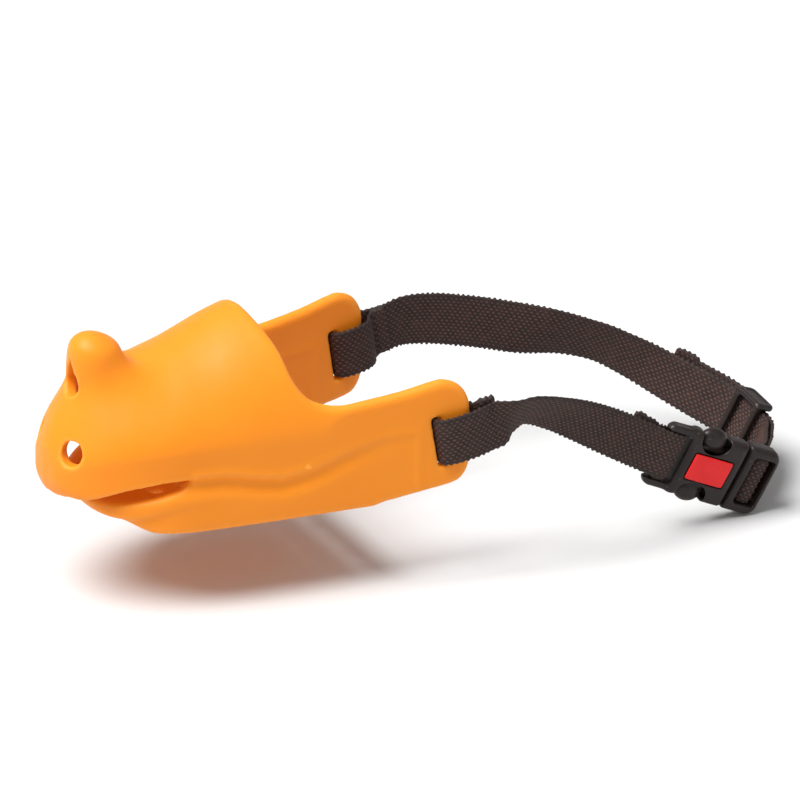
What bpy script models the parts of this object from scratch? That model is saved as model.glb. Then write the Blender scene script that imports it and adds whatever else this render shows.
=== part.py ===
"""Silicone snout muzzle with side-release strap.

One-piece moulded silicone snout cover with two side wings, 15 mm webbing
sewn through a slot in each wing, a side-release buckle and a strap slider.

Axes: +X from the nose to the neck, +Y to the wearer's right, +Z up.
Origin: on the underside of the flat floor, on the mid-plane, 41.7 mm behind
the tip of the nose. Dimensions below are in millimetres measured from the tip
of the nose; MM turns them into metres and ORIGIN_X moves them to the origin.
"""

import math

import bmesh
import bpy
from mathutils import Matrix, Vector

MM = 0.001
ORIGIN_X = 41.7

# ---- silicone shell -------------------------------------------------------
WIDTH_AT_NOSE = 23.54  # half width of the straight side lines, carried to x = 0
WIDTH_RATE = 0.12  # growth of the half width per mm of x
NOSE_ROUND = 40.0  # length over which the plan rounds off to the nose
CREST_AT_NOSE = 37.4  # height of the crest line, carried to x = 0
CREST_RATE = 0.31
BROW_ROUND = 15.0  # length over which the crest rounds down to the nose
NOSE_TOP, NOSE_BOTTOM = 20.0, 13.0  # the front-most band of the nose
BELLY = 25.0  # height where a section is widest
WING_RISE = 14.0  # the wings stand straight up, so the widest height rises behind the hood
WALL, WING_WALL, FLOOR = 3.0, 4.3, 3.0
SPACE_SETBACK = 4.0  # the hood's inner space starts this far behind the nose
JAW_FRONT = 8.6
JAW_TUCK = 0.2  # the lower jaw stands in from the upper one by this much
MOUTH_CORNER_X = 35.5
LIP_GROOVE = 2.2  # depth of the groove under the upper lip
THROUGH_Y = 70.0  # half length of cutters that pass through both sides

# x of the cross-sections
HOOD_STATIONS = [0.05, 0.35, 0.9, 1.8, 3.0, 4.4, 6.0, 8.0, 10.0, 12.0, 14.5, 17.5, 21, 25, 30,
                 35, 40] + [46 + 6.5 * k for k in range(13)]
JAW_STATIONS = [8.7, 9.1, 9.9, 11.2, 13, 15.5, 18.5, 22, 26, 30, 35.4, 35.6] + [
    41 + 6.5 * k for k in range(11)]
JAW_SPACE_STATIONS = [12.2, 12.6, 13.4, 15, 17.5, 21, 26, 31, 37] + [44 + 9 * k for k in range(8)]
# x of the hood space's cross-sections, measured from its own front
HOOD_SPACE_STATIONS = [0.1, 0.6, 1.5, 3, 5, 7.5, 10.5, 14, 18, 23, 29, 36] + [
    43 + 7 * k for k in range(13)]

# lower edge of the upper jaw, (x, z), from the nose to where it fades out
LIP = [(-6, 7.4), (3, 7.6), (6, 9.0), (8.5, 11.2), (12, 13.1), (17, 15.1), (27, 16.9), (35, 17.2),
       (46, 16.8), (55, 14.6), (63, 13.2), (74, 15.3), (83, 18.6), (94, 21.6), (104, 21.4)]
# upper rim of the lower jaw in front of the mouth corner, (x, z)
RIM = [(8, 8.6), (13, 8.8), (17, 9.5), (24.5, 11.4), (33, 14.0), (35.4, 16.4)]
# rear outline in side view, (x, z), from the crown down to the floor
REAR = [(63.9, 60), (64.3, 57.5), (68.0, 49.5), (69.8, 41.5), (73.5, 36.0), (79.7, 33.8),
        (86.8, 33.8), (100, 35.2), (109, 36.9), (113.6, 37.3), (118.2, 35.2), (120.9, 31.0),
        (121.5, 26.0), (121.5, 14.0), (120.9, 9.6), (118.6, 6.0), (115.0, 4.5), (107, 3.2),
        (99.4, 1.9), (93.5, -0.2)]

# horn sections: z, centre x, radius
HORN = [(34, 18.5, 10.8), (38, 18.2, 9.8), (42, 17.6, 9.0), (46, 17.3, 8.7), (50, 17.1, 8.3),
        (53, 16.7, 7.6), (55, 16.1, 6.3), (56, 15.7, 4.7), (57, 15.3, 2.5), (57.8, 15.1, 1.0)]
HORN_WALL = 3.0
HORN_SPACE_DROP = 2.5  # the horn's inner sections lie this far below the outer ones
TEAR_Z, TEAR_R, TEAR_TOP = 42.6, 3.9, 49.8  # teardrop opening in the horn's front
VENT_X, VENT_Y, VENT_Z, VENT_R, VENT_TURN = 6.0, 11.8, 25.1, 3.5, 33.0
FLOOR_HOLE_R = 2.3
FLOOR_PITCH, FLOOR_ROW_PITCH = 9.8, 10.0  # along x, along y
FLOOR_FIRST = 36.8

# ---- wing slots -----------------------------------------------------------
SLOT_X, SLOT_Z, SLOT_WIDE, SLOT_TALL = 111.2, 18.4, 3.9, 17.0
SLOT_TILT = math.radians(8.5)
SLOT_UP = (-math.sin(SLOT_TILT), 0.0, math.cos(SLOT_TILT))
BAR_X, BAR_Y, BAR_Z = 117.3, 35.6, 18.3  # the bar of wing behind each slot

# ---- webbing --------------------------------------------------------------
WEB, THICK = 15.0, 1.3
LAYER = THICK + 0.35  # pitch of two layers lying together
FLEX_X, FLEX_GAP = 165.0, 0.7  # both straps are parted here, by FLEX_GAP to each side
MIDDLE_END_X, ADJUSTABLE_START_X = 199.4, 200.4  # second parting of the right strap

# ---- buckle frame: along the buckle, across it, out of its face -------------
STRAP_UP = (0.4256, -0.15, 0.8924)  # width direction of the webbing near the buckle
BUCKLE_AT = Vector((187.7, -37.0, -1.2))
BUCKLE_ALONG = Vector((0.9026, 0.0, -0.4305)).normalized()
BUCKLE_ACROSS = -Vector(STRAP_UP).normalized()
BUCKLE_ACROSS = (BUCKLE_ACROSS - BUCKLE_ALONG * BUCKLE_ACROSS.dot(BUCKLE_ALONG)).normalized()
BUCKLE_OUT = -BUCKLE_ALONG.cross(BUCKLE_ACROSS)  # outward face, so the frame is left-handed
HALF_ACROSS, HALF_OUT = 10.8, 3.6
SEAM = 22.3  # where the plug's base meets the housing
SEAM_GAP = 0.15  # each part stops this far short of the seam
PLUG_END = 34.0
WINDOW_ALONG, WINDOW_ACROSS = 10.6, 8.0  # centre of each side window
WINDOW_R_ALONG, WINDOW_R_ACROSS = 4.8, 4.25
CAVITY_ACROSS, CAVITY_OUT = 9.5, 2.5  # half sizes of the space for the plug
WEB_OPENING = 8.1  # half size across of the web frame's openings
BADGE_START, BADGE_END, BADGE_HALF, BADGE_GAP = 5.5, 18.1, 3.35, 0.3
THROUGH_OUT = 6.0  # half length of cutters that pass through the buckle

# ---- slider frame: along the strap's run, across its width, out of its face --
SLIDER_AT = Vector((226.8, -4.0, -11.8))
SLIDER_RUN = Vector((0.12, -0.97, -0.2)).normalized()
SLIDER_WIDTH = SLIDER_RUN.cross(Vector(STRAP_UP)).normalized().cross(SLIDER_RUN).normalized()
SLIDER_FACE = SLIDER_RUN.cross(SLIDER_WIDTH)

for old in list(bpy.data.objects):
    bpy.data.objects.remove(old, do_unlink=True)


# ---- small helpers --------------------------------------------------------
def finish(name, color, roughness):
    made = bpy.data.materials.new(name)
    made.use_nodes = True
    shader = made.node_tree.nodes["Principled BSDF"]
    shader.inputs["Base Color"].default_value = (*color, 1.0)
    shader.inputs["Roughness"].default_value = roughness
    made.diffuse_color = (*color, 1.0)
    return made


def clamp(value):
    return min(max(value, 0.0), 1.0)


def between(points, x):
    """Straight interpolation along a list of (x, value)."""
    if x <= points[0][0]:
        return points[0][1]
    for (x0, value0), (x1, value1) in zip(points, points[1:]):
        if x <= x1:
            return value0 + (value1 - value0) * (x - x0) / (x1 - x0)
    return points[-1][1]


def linked(name, make, material=None):
    """Object whose mesh is filled by make(bm)."""
    mesh = bpy.data.meshes.new(name)
    bm = bmesh.new()
    make(bm)
    bmesh.ops.recalc_face_normals(bm, faces=bm.faces)
    bm.to_mesh(mesh)
    bm.free()
    obj = bpy.data.objects.new(name, mesh)
    bpy.context.scene.collection.objects.link(obj)
    if material:
        mesh.materials.append(material)
    return obj


def boolean(obj, helper, operation):
    made = obj.modifiers.new(operation.lower(), "BOOLEAN")
    made.operation = operation
    made.solver = "EXACT"
    made.object = helper


def cut(obj, helper):
    boolean(obj, helper, "DIFFERENCE")


def join(obj, helper):
    boolean(obj, helper, "UNION")


def settle(obj):
    """Turns an object's booleans into plain mesh and deletes the helpers they used."""
    helpers = [modifier.object for modifier in obj.modifiers]
    graph = bpy.context.evaluated_depsgraph_get()
    graph.update()
    mesh = bpy.data.meshes.new_from_object(obj.evaluated_get(graph), depsgraph=graph)
    obj.modifiers.clear()
    obj.data = mesh
    for helper in helpers:
        bpy.data.objects.remove(helper, do_unlink=True)


def loft(bm, rings):
    """Closed skin over rings with the same number of points, with a flat cap at each end."""
    made = [[bm.verts.new(Vector(point) * MM) for point in ring] for ring in rings]
    count = len(made[0])
    for ring, following in zip(made, made[1:]):
        for i in range(count):
            j = (i + 1) % count
            bm.faces.new((ring[i], ring[j], following[j], following[i]))
    bm.faces.new(made[0])
    bm.faces.new(list(reversed(made[-1])))


def prism(points, axis, low, high):
    """Maker of an extruded outline. points lie in the plane across axis."""

    def at(point, height):
        first, second = point
        return {
            "X": (height, first, second),
            "Y": (first, height, second),
            "Z": (first, second, height),
        }[axis]

    def make(bm):
        loft(bm, [[at(point, height) for point in points] for height in (low, high)])

    return make


def ellipse(centre_a, centre_b, radius_a, radius_b, steps):
    angles = [2 * math.pi * i / steps for i in range(steps)]
    return [(centre_a + radius_a * math.cos(angle), centre_b + radius_b * math.sin(angle))
            for angle in angles]


# ---- materials ------------------------------------------------------------
silicone = finish("silicone_orange", color=(0.92, 0.36, 0.055), roughness=0.42)
webbing = finish("webbing_brown", color=(0.075, 0.036, 0.027), roughness=0.85)
thread = finish("thread_brown", color=(0.06, 0.03, 0.022), roughness=0.8)
plastic = finish("plastic_charcoal", color=(0.05, 0.045, 0.042), roughness=0.38)
plug_plastic = finish("plastic_charcoal_plug", color=(0.055, 0.05, 0.047), roughness=0.38)
badge_red = finish("badge_red", color=(0.78, 0.02, 0.015), roughness=0.28)


# ---- shell sections -------------------------------------------------------
def rounding(share, power=2.5, root=2.2):
    """Rises from 0 to 1 along a superellipse quarter as share goes from 0 to 1."""
    return (1 - (1 - clamp(share)) ** power) ** (1 / root)


def side_line(x):
    return WIDTH_AT_NOSE + WIDTH_RATE * x


def crest_line(x):
    return CREST_AT_NOSE + CREST_RATE * x


def hood_half(x):
    return side_line(x) * rounding(x / NOSE_ROUND)


def jaw_half(x):
    return side_line(x) * rounding((x - JAW_FRONT) / (NOSE_ROUND - JAW_FRONT)) - JAW_TUCK


def hood_top(x):
    return NOSE_TOP + (crest_line(x) - NOSE_TOP) * rounding(x / BROW_ROUND, 2.2, 2.0)


def hood_bottom(x):
    return NOSE_BOTTOM - (NOSE_BOTTOM - 0.4) * rounding(x / 14.0, 2.0, 2.0)


def belly(x):
    front = 0.5 * (NOSE_TOP + NOSE_BOTTOM)
    rise = clamp((x - 73.0) / 20.0)
    smooth_rise = WING_RISE * rise * rise * (3 - 2 * rise)
    return front + (BELLY - front) * rounding(x / 28.0, 2.0, 2.0) + smooth_rise


def hood_ring(x, half, top, bottom, middle, corner, arc=22):
    """A superellipse above the belly, straight sides and rounded corners below it."""
    power = 1.5 + 0.18 * min(x / 30.0, 1.0)
    ring = []
    for i in range(arc + 1):
        angle = math.pi * i / arc
        cosine = math.cos(angle)
        y = math.copysign(abs(cosine) ** (2 / power), cosine) * half
        ring.append((x, y, middle + abs(math.sin(angle)) ** (2 / power) * (top - middle)))
    radius = min(corner, 0.6 * (middle - bottom), 0.7 * half)
    side = [(half, middle + (bottom + radius - middle) * k / 3) for k in range(1, 4)]
    side += [(half - radius + radius * math.cos(angle), bottom + radius - radius * math.sin(angle))
             for angle in (math.pi / 6, math.pi / 3, math.pi / 2)]
    ring += [(x, -y, z) for y, z in side]
    ring += [(x, 0.0, bottom)]
    ring += [(x, y, z) for y, z in reversed(side)]
    return ring


def hood_solid(bm):
    loft(bm, [hood_ring(x, hood_half(x), hood_top(x), hood_bottom(x), belly(x), corner=3.0)
              for x in HOOD_STATIONS])


def hood_space(bm):
    rings = []
    for x in HOOD_SPACE_STATIONS:
        wall = WALL + (WING_WALL - WALL) * clamp((x - 70) / 15)
        half = (side_line(x + 4.2) - wall) * rounding(x / (NOSE_ROUND - SPACE_SETBACK))
        rise = crest_line(x) - WALL - NOSE_TOP + 1
        top = NOSE_TOP - 1 + rise * rounding(x / BROW_ROUND, 2.2, 2.0)
        middle = max(belly(x) - 1, 10)
        rings.append(hood_ring(x + SPACE_SETBACK, half, top, -3.0, middle, corner=2.0))
    loft(bm, rings)


def horn_solid(bm):
    loft(bm, [[(x, y, z) for x, y in ellipse(centre, 0, radius, radius, 24)]
              for z, centre, radius in HORN])


def horn_space(bm):
    rings = []
    for z, centre, radius in HORN[:6]:
        inner = radius - HORN_WALL
        rings.append([(x, y, z - HORN_SPACE_DROP) for x, y in ellipse(centre, 0, inner, inner, 20)])
    loft(bm, rings)


def jaw_ring(x):
    """Lower jaw section: flat floor, rounded corners, and a groove under the upper lip."""
    bottom = 6.4 * (1 - clamp((x - 9.5) / 15.5)) ** 1.4
    lip = between(LIP, x)
    top = between(RIM, x) if x < MOUTH_CORNER_X else lip + 2.5
    half = jaw_half(x)
    corner = min(1.8 + 5.0 * max(0.0, 1 - x / 30), 0.55 * (top - bottom), 0.6 * half)
    side = [(half - corner + corner * math.sin(angle), bottom + corner - corner * math.cos(angle))
            for angle in (0, 0.52, 1.05, 1.5708)]
    groove_share = clamp((x - 20) / 14)
    for k in range(1, 7):
        z = bottom + corner + (top - bottom - corner) * k / 6
        sink = LIP_GROOVE * math.exp(-(((lip - 1.8 - z) / 2.4) ** 2))
        side.append((half - sink * groove_share, z))
    left = [(x, -y, z) for y, z in side]
    right = [(x, y, z) for y, z in reversed(side)]
    return left + [(x, 0, top)] + right + [(x, 0, bottom)]


def jaw_solid(bm):
    loft(bm, [jaw_ring(x) for x in JAW_STATIONS])


def jaw_space(bm):
    rings = []
    for x in JAW_SPACE_STATIONS:
        half = (side_line(x) - 3.9) * rounding((x - 12.1) / 26)
        low = max(FLOOR, 8 - 5 * (x - 12.2) / 9)
        section = [(-half, low + 1.5), (-half * 0.93, low), (half * 0.93, low),
                   (half, low + 1.5), (half, 26), (-half, 26)]
        rings.append([(x, y, z) for y, z in section])
    loft(bm, rings)


# ---- shell openings -------------------------------------------------------
def teardrop():
    angles = [2 * math.pi * k / 20 for k in range(-7, 8)]
    outline = [(TEAR_R * math.sin(angle), TEAR_Z - TEAR_R * math.cos(angle)) for angle in angles]
    outline += [(0.9, TEAR_TOP - 0.5), (0, TEAR_TOP), (-0.9, TEAR_TOP - 0.5)]
    return linked("cut_teardrop", prism(outline, "X", -3, 13))


def vent(side):
    hole = linked("cut_vent", prism(ellipse(0, 0, VENT_R, VENT_R, 24), "X", -8, 9))
    hole.location = Vector((VENT_X, side * VENT_Y, VENT_Z)) * MM
    hole.rotation_euler = (0, 0, math.radians(-side * VENT_TURN))
    return hole


def wing_slot(side):
    """Upright slot with round ends, its top leaning forward."""
    radius = SLOT_WIDE / 2
    outline = []
    for k in range(16):
        angle = 2 * math.pi * (k + 0.5) / 16
        end = math.copysign(SLOT_TALL / 2 - radius, math.sin(angle))
        outline.append((radius * math.cos(angle), end + radius * math.sin(angle)))
    slot = linked("cut_slot", prism(outline, "Y", -9, 9))
    slot.location = Vector((SLOT_X, side * BAR_Y, SLOT_Z)) * MM
    slot.rotation_euler = (0, -SLOT_TILT, 0)
    return slot


def floor_holes(bm):
    for row in range(-2, 3):
        for k in range(6):
            x = FLOOR_FIRST + FLOOR_PITCH * k
            hole = ellipse(x, row * FLOOR_ROW_PITCH, FLOOR_HOLE_R, FLOOR_HOLE_R, 12)
            prism(hole, "Z", -2, 5)(bm)


# ---- muzzle_shell ---------------------------------------------------------
def build_jaw():
    jaw = linked("lower_jaw", jaw_solid)
    cut(jaw, linked("cut_jaw_space", jaw_space))
    behind_floor = [(93.4, -5), (140, -5), (140, 12), (93.4, 12)]
    cut(jaw, linked("cut_floor_end", prism(behind_floor, "Y", -30.6, 30.6)))
    settle(jaw)
    return jaw


def build_shell():
    shell = linked("muzzle_shell", hood_solid, silicone)
    join(shell, linked("horn", horn_solid))
    settle(shell)
    cut(shell, linked("cut_hood_space", hood_space))
    cut(shell, linked("cut_horn_space", horn_space))
    below_lip = LIP + [(LIP[-1][0], -6), (LIP[0][0], -6)]
    cut(shell, linked("cut_below_lip", prism(below_lip, "Y", -THROUGH_Y, THROUGH_Y)))
    settle(shell)
    join(shell, build_jaw())
    settle(shell)

    cut(shell, teardrop())
    for side in (-1, 1):
        cut(shell, vent(side))
        cut(shell, wing_slot(side))
    cut(shell, linked("cut_floor_holes", floor_holes))
    behind = REAR + [(REAR[-1][0], -8), (140, -8), (140, 110), (REAR[0][0], 110)]
    cut(shell, linked("cut_rear", prism(behind, "Y", -THROUGH_Y, THROUGH_Y)))
    settle(shell)


# ---- strap paths ----------------------------------------------------------
# A row is one place on a strap: x, y, z, then the x, y, z of its width direction.

# around a wing's bar: distance behind the bar's centre, distance outward of it
WING_LOOP = [(13.2, 1.25), (9.8, 1.15), (7.7, 0.2), (6.2, -2.7), (3.3, -4.35), (-2.3, -4.75),
             (-5.6, -3.4), (-6.1, -0.2), (-5.5, 2.7), (-2.4, 4.0), (2.5, 4.35), (6.4, 4.1),
             (9.6, 3.4), (13.2, 3.0)]
# rows from the left wing to the buckle
LEFT_RUN = [(134.6, -38.4, 22.4, -0.10, -0.42, 0.90), (140.8, -38.2, 23.3, 0.05, -0.59, 0.81),
            (150.6, -37.9, 20.0, 0.34, -0.50, 0.80), (158.5, -37.7, 16.0, 0.40, -0.34, 0.85),
            (165.0, -37.5, 12.3, 0.42, -0.22, 0.88), (173.0, -37.4, 7.4, *STRAP_UP)]
# rows from the right wing to the slider
RIGHT_RUN = [(137.5, 39.5, 22.0, 0.0, 0.10, 0.99), (147.0, 40.3, 20.4, 0.18, 0.24, 0.95),
             (156.4, 40.8, 17.8, 0.2, 0.3, 0.93), (165.7, 41.0, 14.9, 0.2, 0.28, 0.94),
             (174.6, 40.5, 12.0, 0.2, 0.18, 0.96), (188.1, 38.0, 8.7, 0.15, -0.25, 0.95),
             (195.1, 35.5, 6.6, 0.1, -0.36, 0.93), (199.7, 33.0, 5.0, 0.12, -0.38, 0.92),
             (204.4, 29.5, 2.6, 0.18, -0.36, 0.91), (209.2, 25.5, -0.1, 0.25, -0.30, 0.9),
             (214.4, 19.8, -3.3, 0.34, -0.24, 0.9), (219.8, 12.9, -6.5, 0.4, -0.2, 0.89)]
# rows from the slider to the plug
TO_PLUG = [(224.9, -18.5, -13.9, *STRAP_UP), (220.2, -26.6, -14.2, *STRAP_UP)]
# buckle places, (along, out): around the web frame's bar and around the plug's bar
FRAME_LOOP = [(-14.5, 0.95), (-10.5, 0.95), (-7.2, 1.3), (-4.6, 2.0), (-2.2, 2.15), (-0.1, 1.6),
              (0.75, 0.0), (-0.1, -1.6), (-2.2, -2.15), (-4.6, -2.0), (-7.2, -1.3),
              (-10.5, -0.95), (-14.8, -0.95)]
TURN = (31.15, -2.2)  # where the right strap starts back from the plug's bar
PLUG_LOOP = [(30.4, -7.0), (27.8, -4.6), (26.5, -2.4), (26.35, -0.6), (26.9, 0.95), (28.1, 1.5),
             (29.5, 1.5), (30.75, 0.9), (31.15, -0.6), TURN, (31.7, -3.9), (33.1, -5.7)]
PLUG_RETURN = [TURN, (31.9, -4.2), (33.6, -6.6)]


def curve_through(points, step):
    """Hermite curve through rows, spaced by chord length."""
    reach = [0.0]
    for here, following in zip(points, points[1:]):
        reach.append(reach[-1] + math.dist(here[:3], following[:3]))
    last = len(points) - 1
    slopes = []
    for i in range(len(points)):
        before, after = max(i - 1, 0), min(i + 1, last)
        run = reach[after] - reach[before]
        slopes.append([(b - a) / run for a, b in zip(points[before], points[after])])
    rows = []
    for i in range(last):
        span = reach[i + 1] - reach[i]
        pieces = max(1, round(span / step))
        ends = list(zip(points[i], slopes[i], points[i + 1], slopes[i + 1]))
        for j in range(pieces + (i == last - 1)):
            t = j / pieces
            at_start = 2 * t**3 - 3 * t**2 + 1
            leaving = (t**3 - 2 * t**2 + t) * span
            at_end = -2 * t**3 + 3 * t**2
            arriving = (t**3 - t**2) * span
            rows.append([at_start * start + leaving * slope + at_end * end + arriving * end_slope
                         for start, slope, end, end_slope in ends])
    return rows


def frames(rows):
    """Position, width and face directions along a strap."""
    made = []
    for i, row in enumerate(rows):
        before, after = rows[max(i - 1, 0)], rows[min(i + 1, len(rows) - 1)]
        run = (Vector(after[:3]) - Vector(before[:3])).normalized()
        width = Vector(row[3:6])
        width = (width - run * width.dot(run)).normalized()
        made.append((Vector(row[:3]), width, run.cross(width)))
    return made


def on_wing(side, behind, outward):
    """Row beside a wing's bar, rising with the slot's tilt."""
    x = BAR_X + behind
    z = SLOT_Z + (x - SLOT_X) * math.tan(SLOT_TILT) + 0.1
    return (x, side * (BAR_Y + outward), z, *SLOT_UP)


def wing_loop(side):
    return [on_wing(side, behind, outward) for behind, outward in WING_LOOP]


def on_buckle(along, across, out):
    return BUCKLE_AT + BUCKLE_ALONG * along + BUCKLE_ACROSS * across + BUCKLE_OUT * out


def buckle_rows(places):
    return [(*on_buckle(along, 0, out), *(-BUCKLE_ACROSS)) for along, out in places]


def slider_rows():
    return [(*(SLIDER_AT + SLIDER_RUN * run), *SLIDER_WIDTH) for run in (-8.5, 0, 8.5)]


def first_past(rows, x):
    return next(i for i, row in enumerate(rows) if row[0] > x)


def closest(rows, point):
    return min(range(len(rows)), key=lambda i: (Vector(rows[i][:3]) - point).length)


def left_path():
    to_buckle = curve_through(wing_loop(-1) + LEFT_RUN + buckle_rows(FRAME_LOOP[:1]), 1.3)
    return to_buckle[:-1] + curve_through(buckle_rows(FRAME_LOOP), 1.0)


def right_path():
    """Wing to plug bar, then back as a second layer lying on the first."""
    path = curve_through(
        wing_loop(1) + RIGHT_RUN + slider_rows() + TO_PLUG + buckle_rows(PLUG_LOOP), 1.2)
    turn_at = on_buckle(TURN[0], 0, TURN[1])
    turn = next(i for i, row in enumerate(path) if (Vector(row[:3]) - turn_at).length < 0.7)
    inbound = path[:turn]
    tail_end = first_past(inbound, 213.6)
    near_bar = max(i for i, row in enumerate(inbound) if row[1] > -21.5)
    back = [(*(point - face * LAYER), *width)
            for point, width, face in frames(inbound)[tail_end : near_bar + 1]]
    back.reverse()
    link = curve_through([inbound[-1]] + buckle_rows(PLUG_RETURN) + [back[0]], 1.2)
    return inbound + link[1:-1] + back


# ---- straps and stitching -------------------------------------------------
# webbing section in shares of half width and half thickness
RIBBON_SECTION = [(-1, -0.6), (-0.96, -1), (0.96, -1), (1, -0.6),
                  (1, 0.6), (0.96, 1), (-0.96, 1), (-1, 0.6)]
STITCH_TALL, STITCH_THICK = 11.5, 0.42
STITCH_LIFT = 0.52  # thread centre above the strap's face
WING_STITCH_X = 128.6


def ribbon(name, rows, material, wide=WEB, thick=THICK):
    def make(bm):
        loft(bm, [[point + width * (wide / 2 * a) + face * (thick / 2 * b)
                   for a, b in RIBBON_SECTION] for point, width, face in frames(rows)])

    linked(name, make, material)


def stitch(name, rows, at, side):
    """A bar of thread lying on one face of a strap; side picks the face."""
    lift = side * (THICK / 2 + STITCH_LIFT)
    over = [(*(point + face * lift), *width) for point, width, face in frames(rows)[at - 1 : at + 2]]
    ribbon(name, over, thread, STITCH_TALL, STITCH_THICK)


def wing_stitch(name, rows, side):
    """Stitching behind the wing, on the layer that leaves the loop."""
    after_start = range(25, len(rows))
    at = min(after_start, key=lambda i: abs(rows[i][0] - WING_STITCH_X))
    stitch(name, rows, at, side)


def build_left_strap():
    rows = left_path()
    front = rows[: first_past(rows, FLEX_X - FLEX_GAP)]
    rear = rows[first_past(rows, FLEX_X + FLEX_GAP) :]
    ribbon("left_strap_wing_loop", front, webbing)
    ribbon("left_strap_buckle_loop", rear, webbing)
    wing_stitch("left_wing_stitching", front, 1)
    outer_layer = rear[: len(rear) // 2]
    stitch("left_buckle_stitching", rear, closest(outer_layer, on_buckle(-9.5, 0, 0.95)), 1)


def build_right_strap():
    rows = right_path()
    front = rows[: first_past(rows, FLEX_X - FLEX_GAP)]
    middle = rows[first_past(rows, FLEX_X + FLEX_GAP) : first_past(rows, MIDDLE_END_X)]
    ribbon("right_strap_wing_loop", front, webbing)
    ribbon("right_strap_middle", middle, webbing)
    ribbon("right_strap_adjustable_end", rows[first_past(rows, ADJUSTABLE_START_X) :], webbing)
    wing_stitch("right_wing_stitching", front, -1)
    stitch("tail_hem_stitching", rows, len(rows) - 5, 1)


# ---- buckle ---------------------------------------------------------------
# Outlines are built in (along, across) and extruded outward from low to high.
def slab(name, outline, low, high, ease=0.0, material=None):
    """A plate in the buckle's plane, its edges eased off by a small chamfer."""
    centre_along = sum(point[0] for point in outline) / len(outline)
    centre_across = sum(point[1] for point in outline) / len(outline)

    def ring(out, shrink):
        points = []
        for along, across in outline:
            distance = math.hypot(along - centre_along, across - centre_across)
            scale = (distance - shrink) / distance
            points.append(on_buckle(centre_along + (along - centre_along) * scale,
                                    centre_across + (across - centre_across) * scale, out))
        return points

    def make(bm):
        if ease:
            levels = [(low, ease), (low + ease, 0), (high - ease, 0), (high, ease)]
        else:
            levels = [(low, 0), (high, 0)]
        loft(bm, [ring(out, shrink) for out, shrink in levels])

    return linked(name, make, material)


def rounded_box(start, end, low, high, radius, steps=4):
    points = []
    for along, across, first_angle in (
        (end - radius, high - radius, 0), (start + radius, high - radius, 90),
        (start + radius, low + radius, 180), (end - radius, low + radius, 270),
    ):
        for k in range(steps + 1):
            angle = math.radians(first_angle + 90 * k / steps)
            points.append((along + radius * math.cos(angle), across + radius * math.sin(angle)))
    return points


def centred_box(start, end, half, radius):
    return rounded_box(start, end, -half, half, radius)


def build_web_frame():
    """Open frame at the front of the housing, with the bar that the left strap loops round."""
    outline = centred_box(-6.2, 4.5, HALF_ACROSS - 0.15, 2.4)
    frame = slab("web_frame", outline, -1.9, 1.9, 0.5)
    # start, end, corner radius, low, high
    for name, start, end, radius, low, high in (
        ("cut_frame", -0.7, 2.7, 0.6, -THROUGH_OUT, THROUGH_OUT),
        ("cut_frame_end", -9, -3.5, 0.6, -THROUGH_OUT, THROUGH_OUT),
        ("cut_frame_face", -3.7, -0.5, 0.2, 1.15, THROUGH_OUT),
        ("cut_frame_back", -3.7, -0.5, 0.2, -THROUGH_OUT, -1.15),
    ):
        cut(frame, slab(name, centred_box(start, end, WEB_OPENING, radius), low, high))
    settle(frame)
    return frame


def build_socket():
    outline = centred_box(2.6, SEAM - SEAM_GAP, HALF_ACROSS, 1.4)
    socket = slab("buckle_socket", outline, -HALF_OUT, HALF_OUT, 0.9, plastic)
    join(socket, build_web_frame())
    settle(socket)

    mouth = centred_box(4.6, 30, CAVITY_ACROSS, 0.8)
    cut(socket, slab("cut_socket_mouth", mouth, -CAVITY_OUT, CAVITY_OUT))
    for side in (-1, 1):
        window = ellipse(WINDOW_ALONG, side * WINDOW_ACROSS, WINDOW_R_ALONG, WINDOW_R_ACROSS, 28)
        cut(socket, slab("cut_window", window, -THROUGH_OUT, THROUGH_OUT))
        low, high = sorted((side * WINDOW_ACROSS, side * 14.0))
        side_opening = rounded_box(6.2, 15.0, low, high, 0.6)
        cut(socket, slab("cut_window_side", side_opening, -CAVITY_OUT, CAVITY_OUT))
    seat = centred_box(BADGE_START - BADGE_GAP, BADGE_END + BADGE_GAP, BADGE_HALF + BADGE_GAP, 0.7)
    cut(socket, slab("cut_badge_seat", seat, HALF_OUT - 0.55, 8))
    settle(socket)


def build_badge():
    outline = centred_box(BADGE_START, BADGE_END, BADGE_HALF, 0.5)
    slab("buckle_badge", outline, HALF_OUT - 0.3, HALF_OUT + 0.4, 0.15, badge_red)


def build_plug():
    edge = [(SEAM + SEAM_GAP, HALF_ACROSS), (29.5, HALF_ACROSS), (32.0, HALF_ACROSS - 0.5),
            (33.5, HALF_ACROSS - 2.0), (PLUG_END, HALF_ACROSS - 4.0)]
    outline = [(along, -across) for along, across in edge] + edge[::-1]
    plug = slab("buckle_plug", outline, -3.3, 3.3, 0.8, plug_plastic)
    opening = centred_box(25.1, 32.5, 7.75, 0.7)
    cut(plug, slab("cut_plug_window", opening, -THROUGH_OUT, THROUGH_OUT))
    join(plug, slab("plug_bar", centred_box(27.7, 29.8, 8.6, 0.4), -1.9, 0.2, 0.3))
    join(plug, slab("tongue", centred_box(7.2, 24.0, 1.5, 0.5), -1.3, 1.3, 0.3))
    settle(plug)


# prong outline on the lower side, (along, across)
PRONG = [(SEAM - SEAM_GAP, 4.3), (SEAM - SEAM_GAP, 6.5), (15.5, 6.7), (10.6, 7.2), (6.9, 6.3),
         (6.7, 5.2), (14.0, 4.7)]
BUTTON_R_ALONG, BUTTON_R_ACROSS, BUTTON_R_OUT = 4.2, 3.75, 2.9


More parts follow.
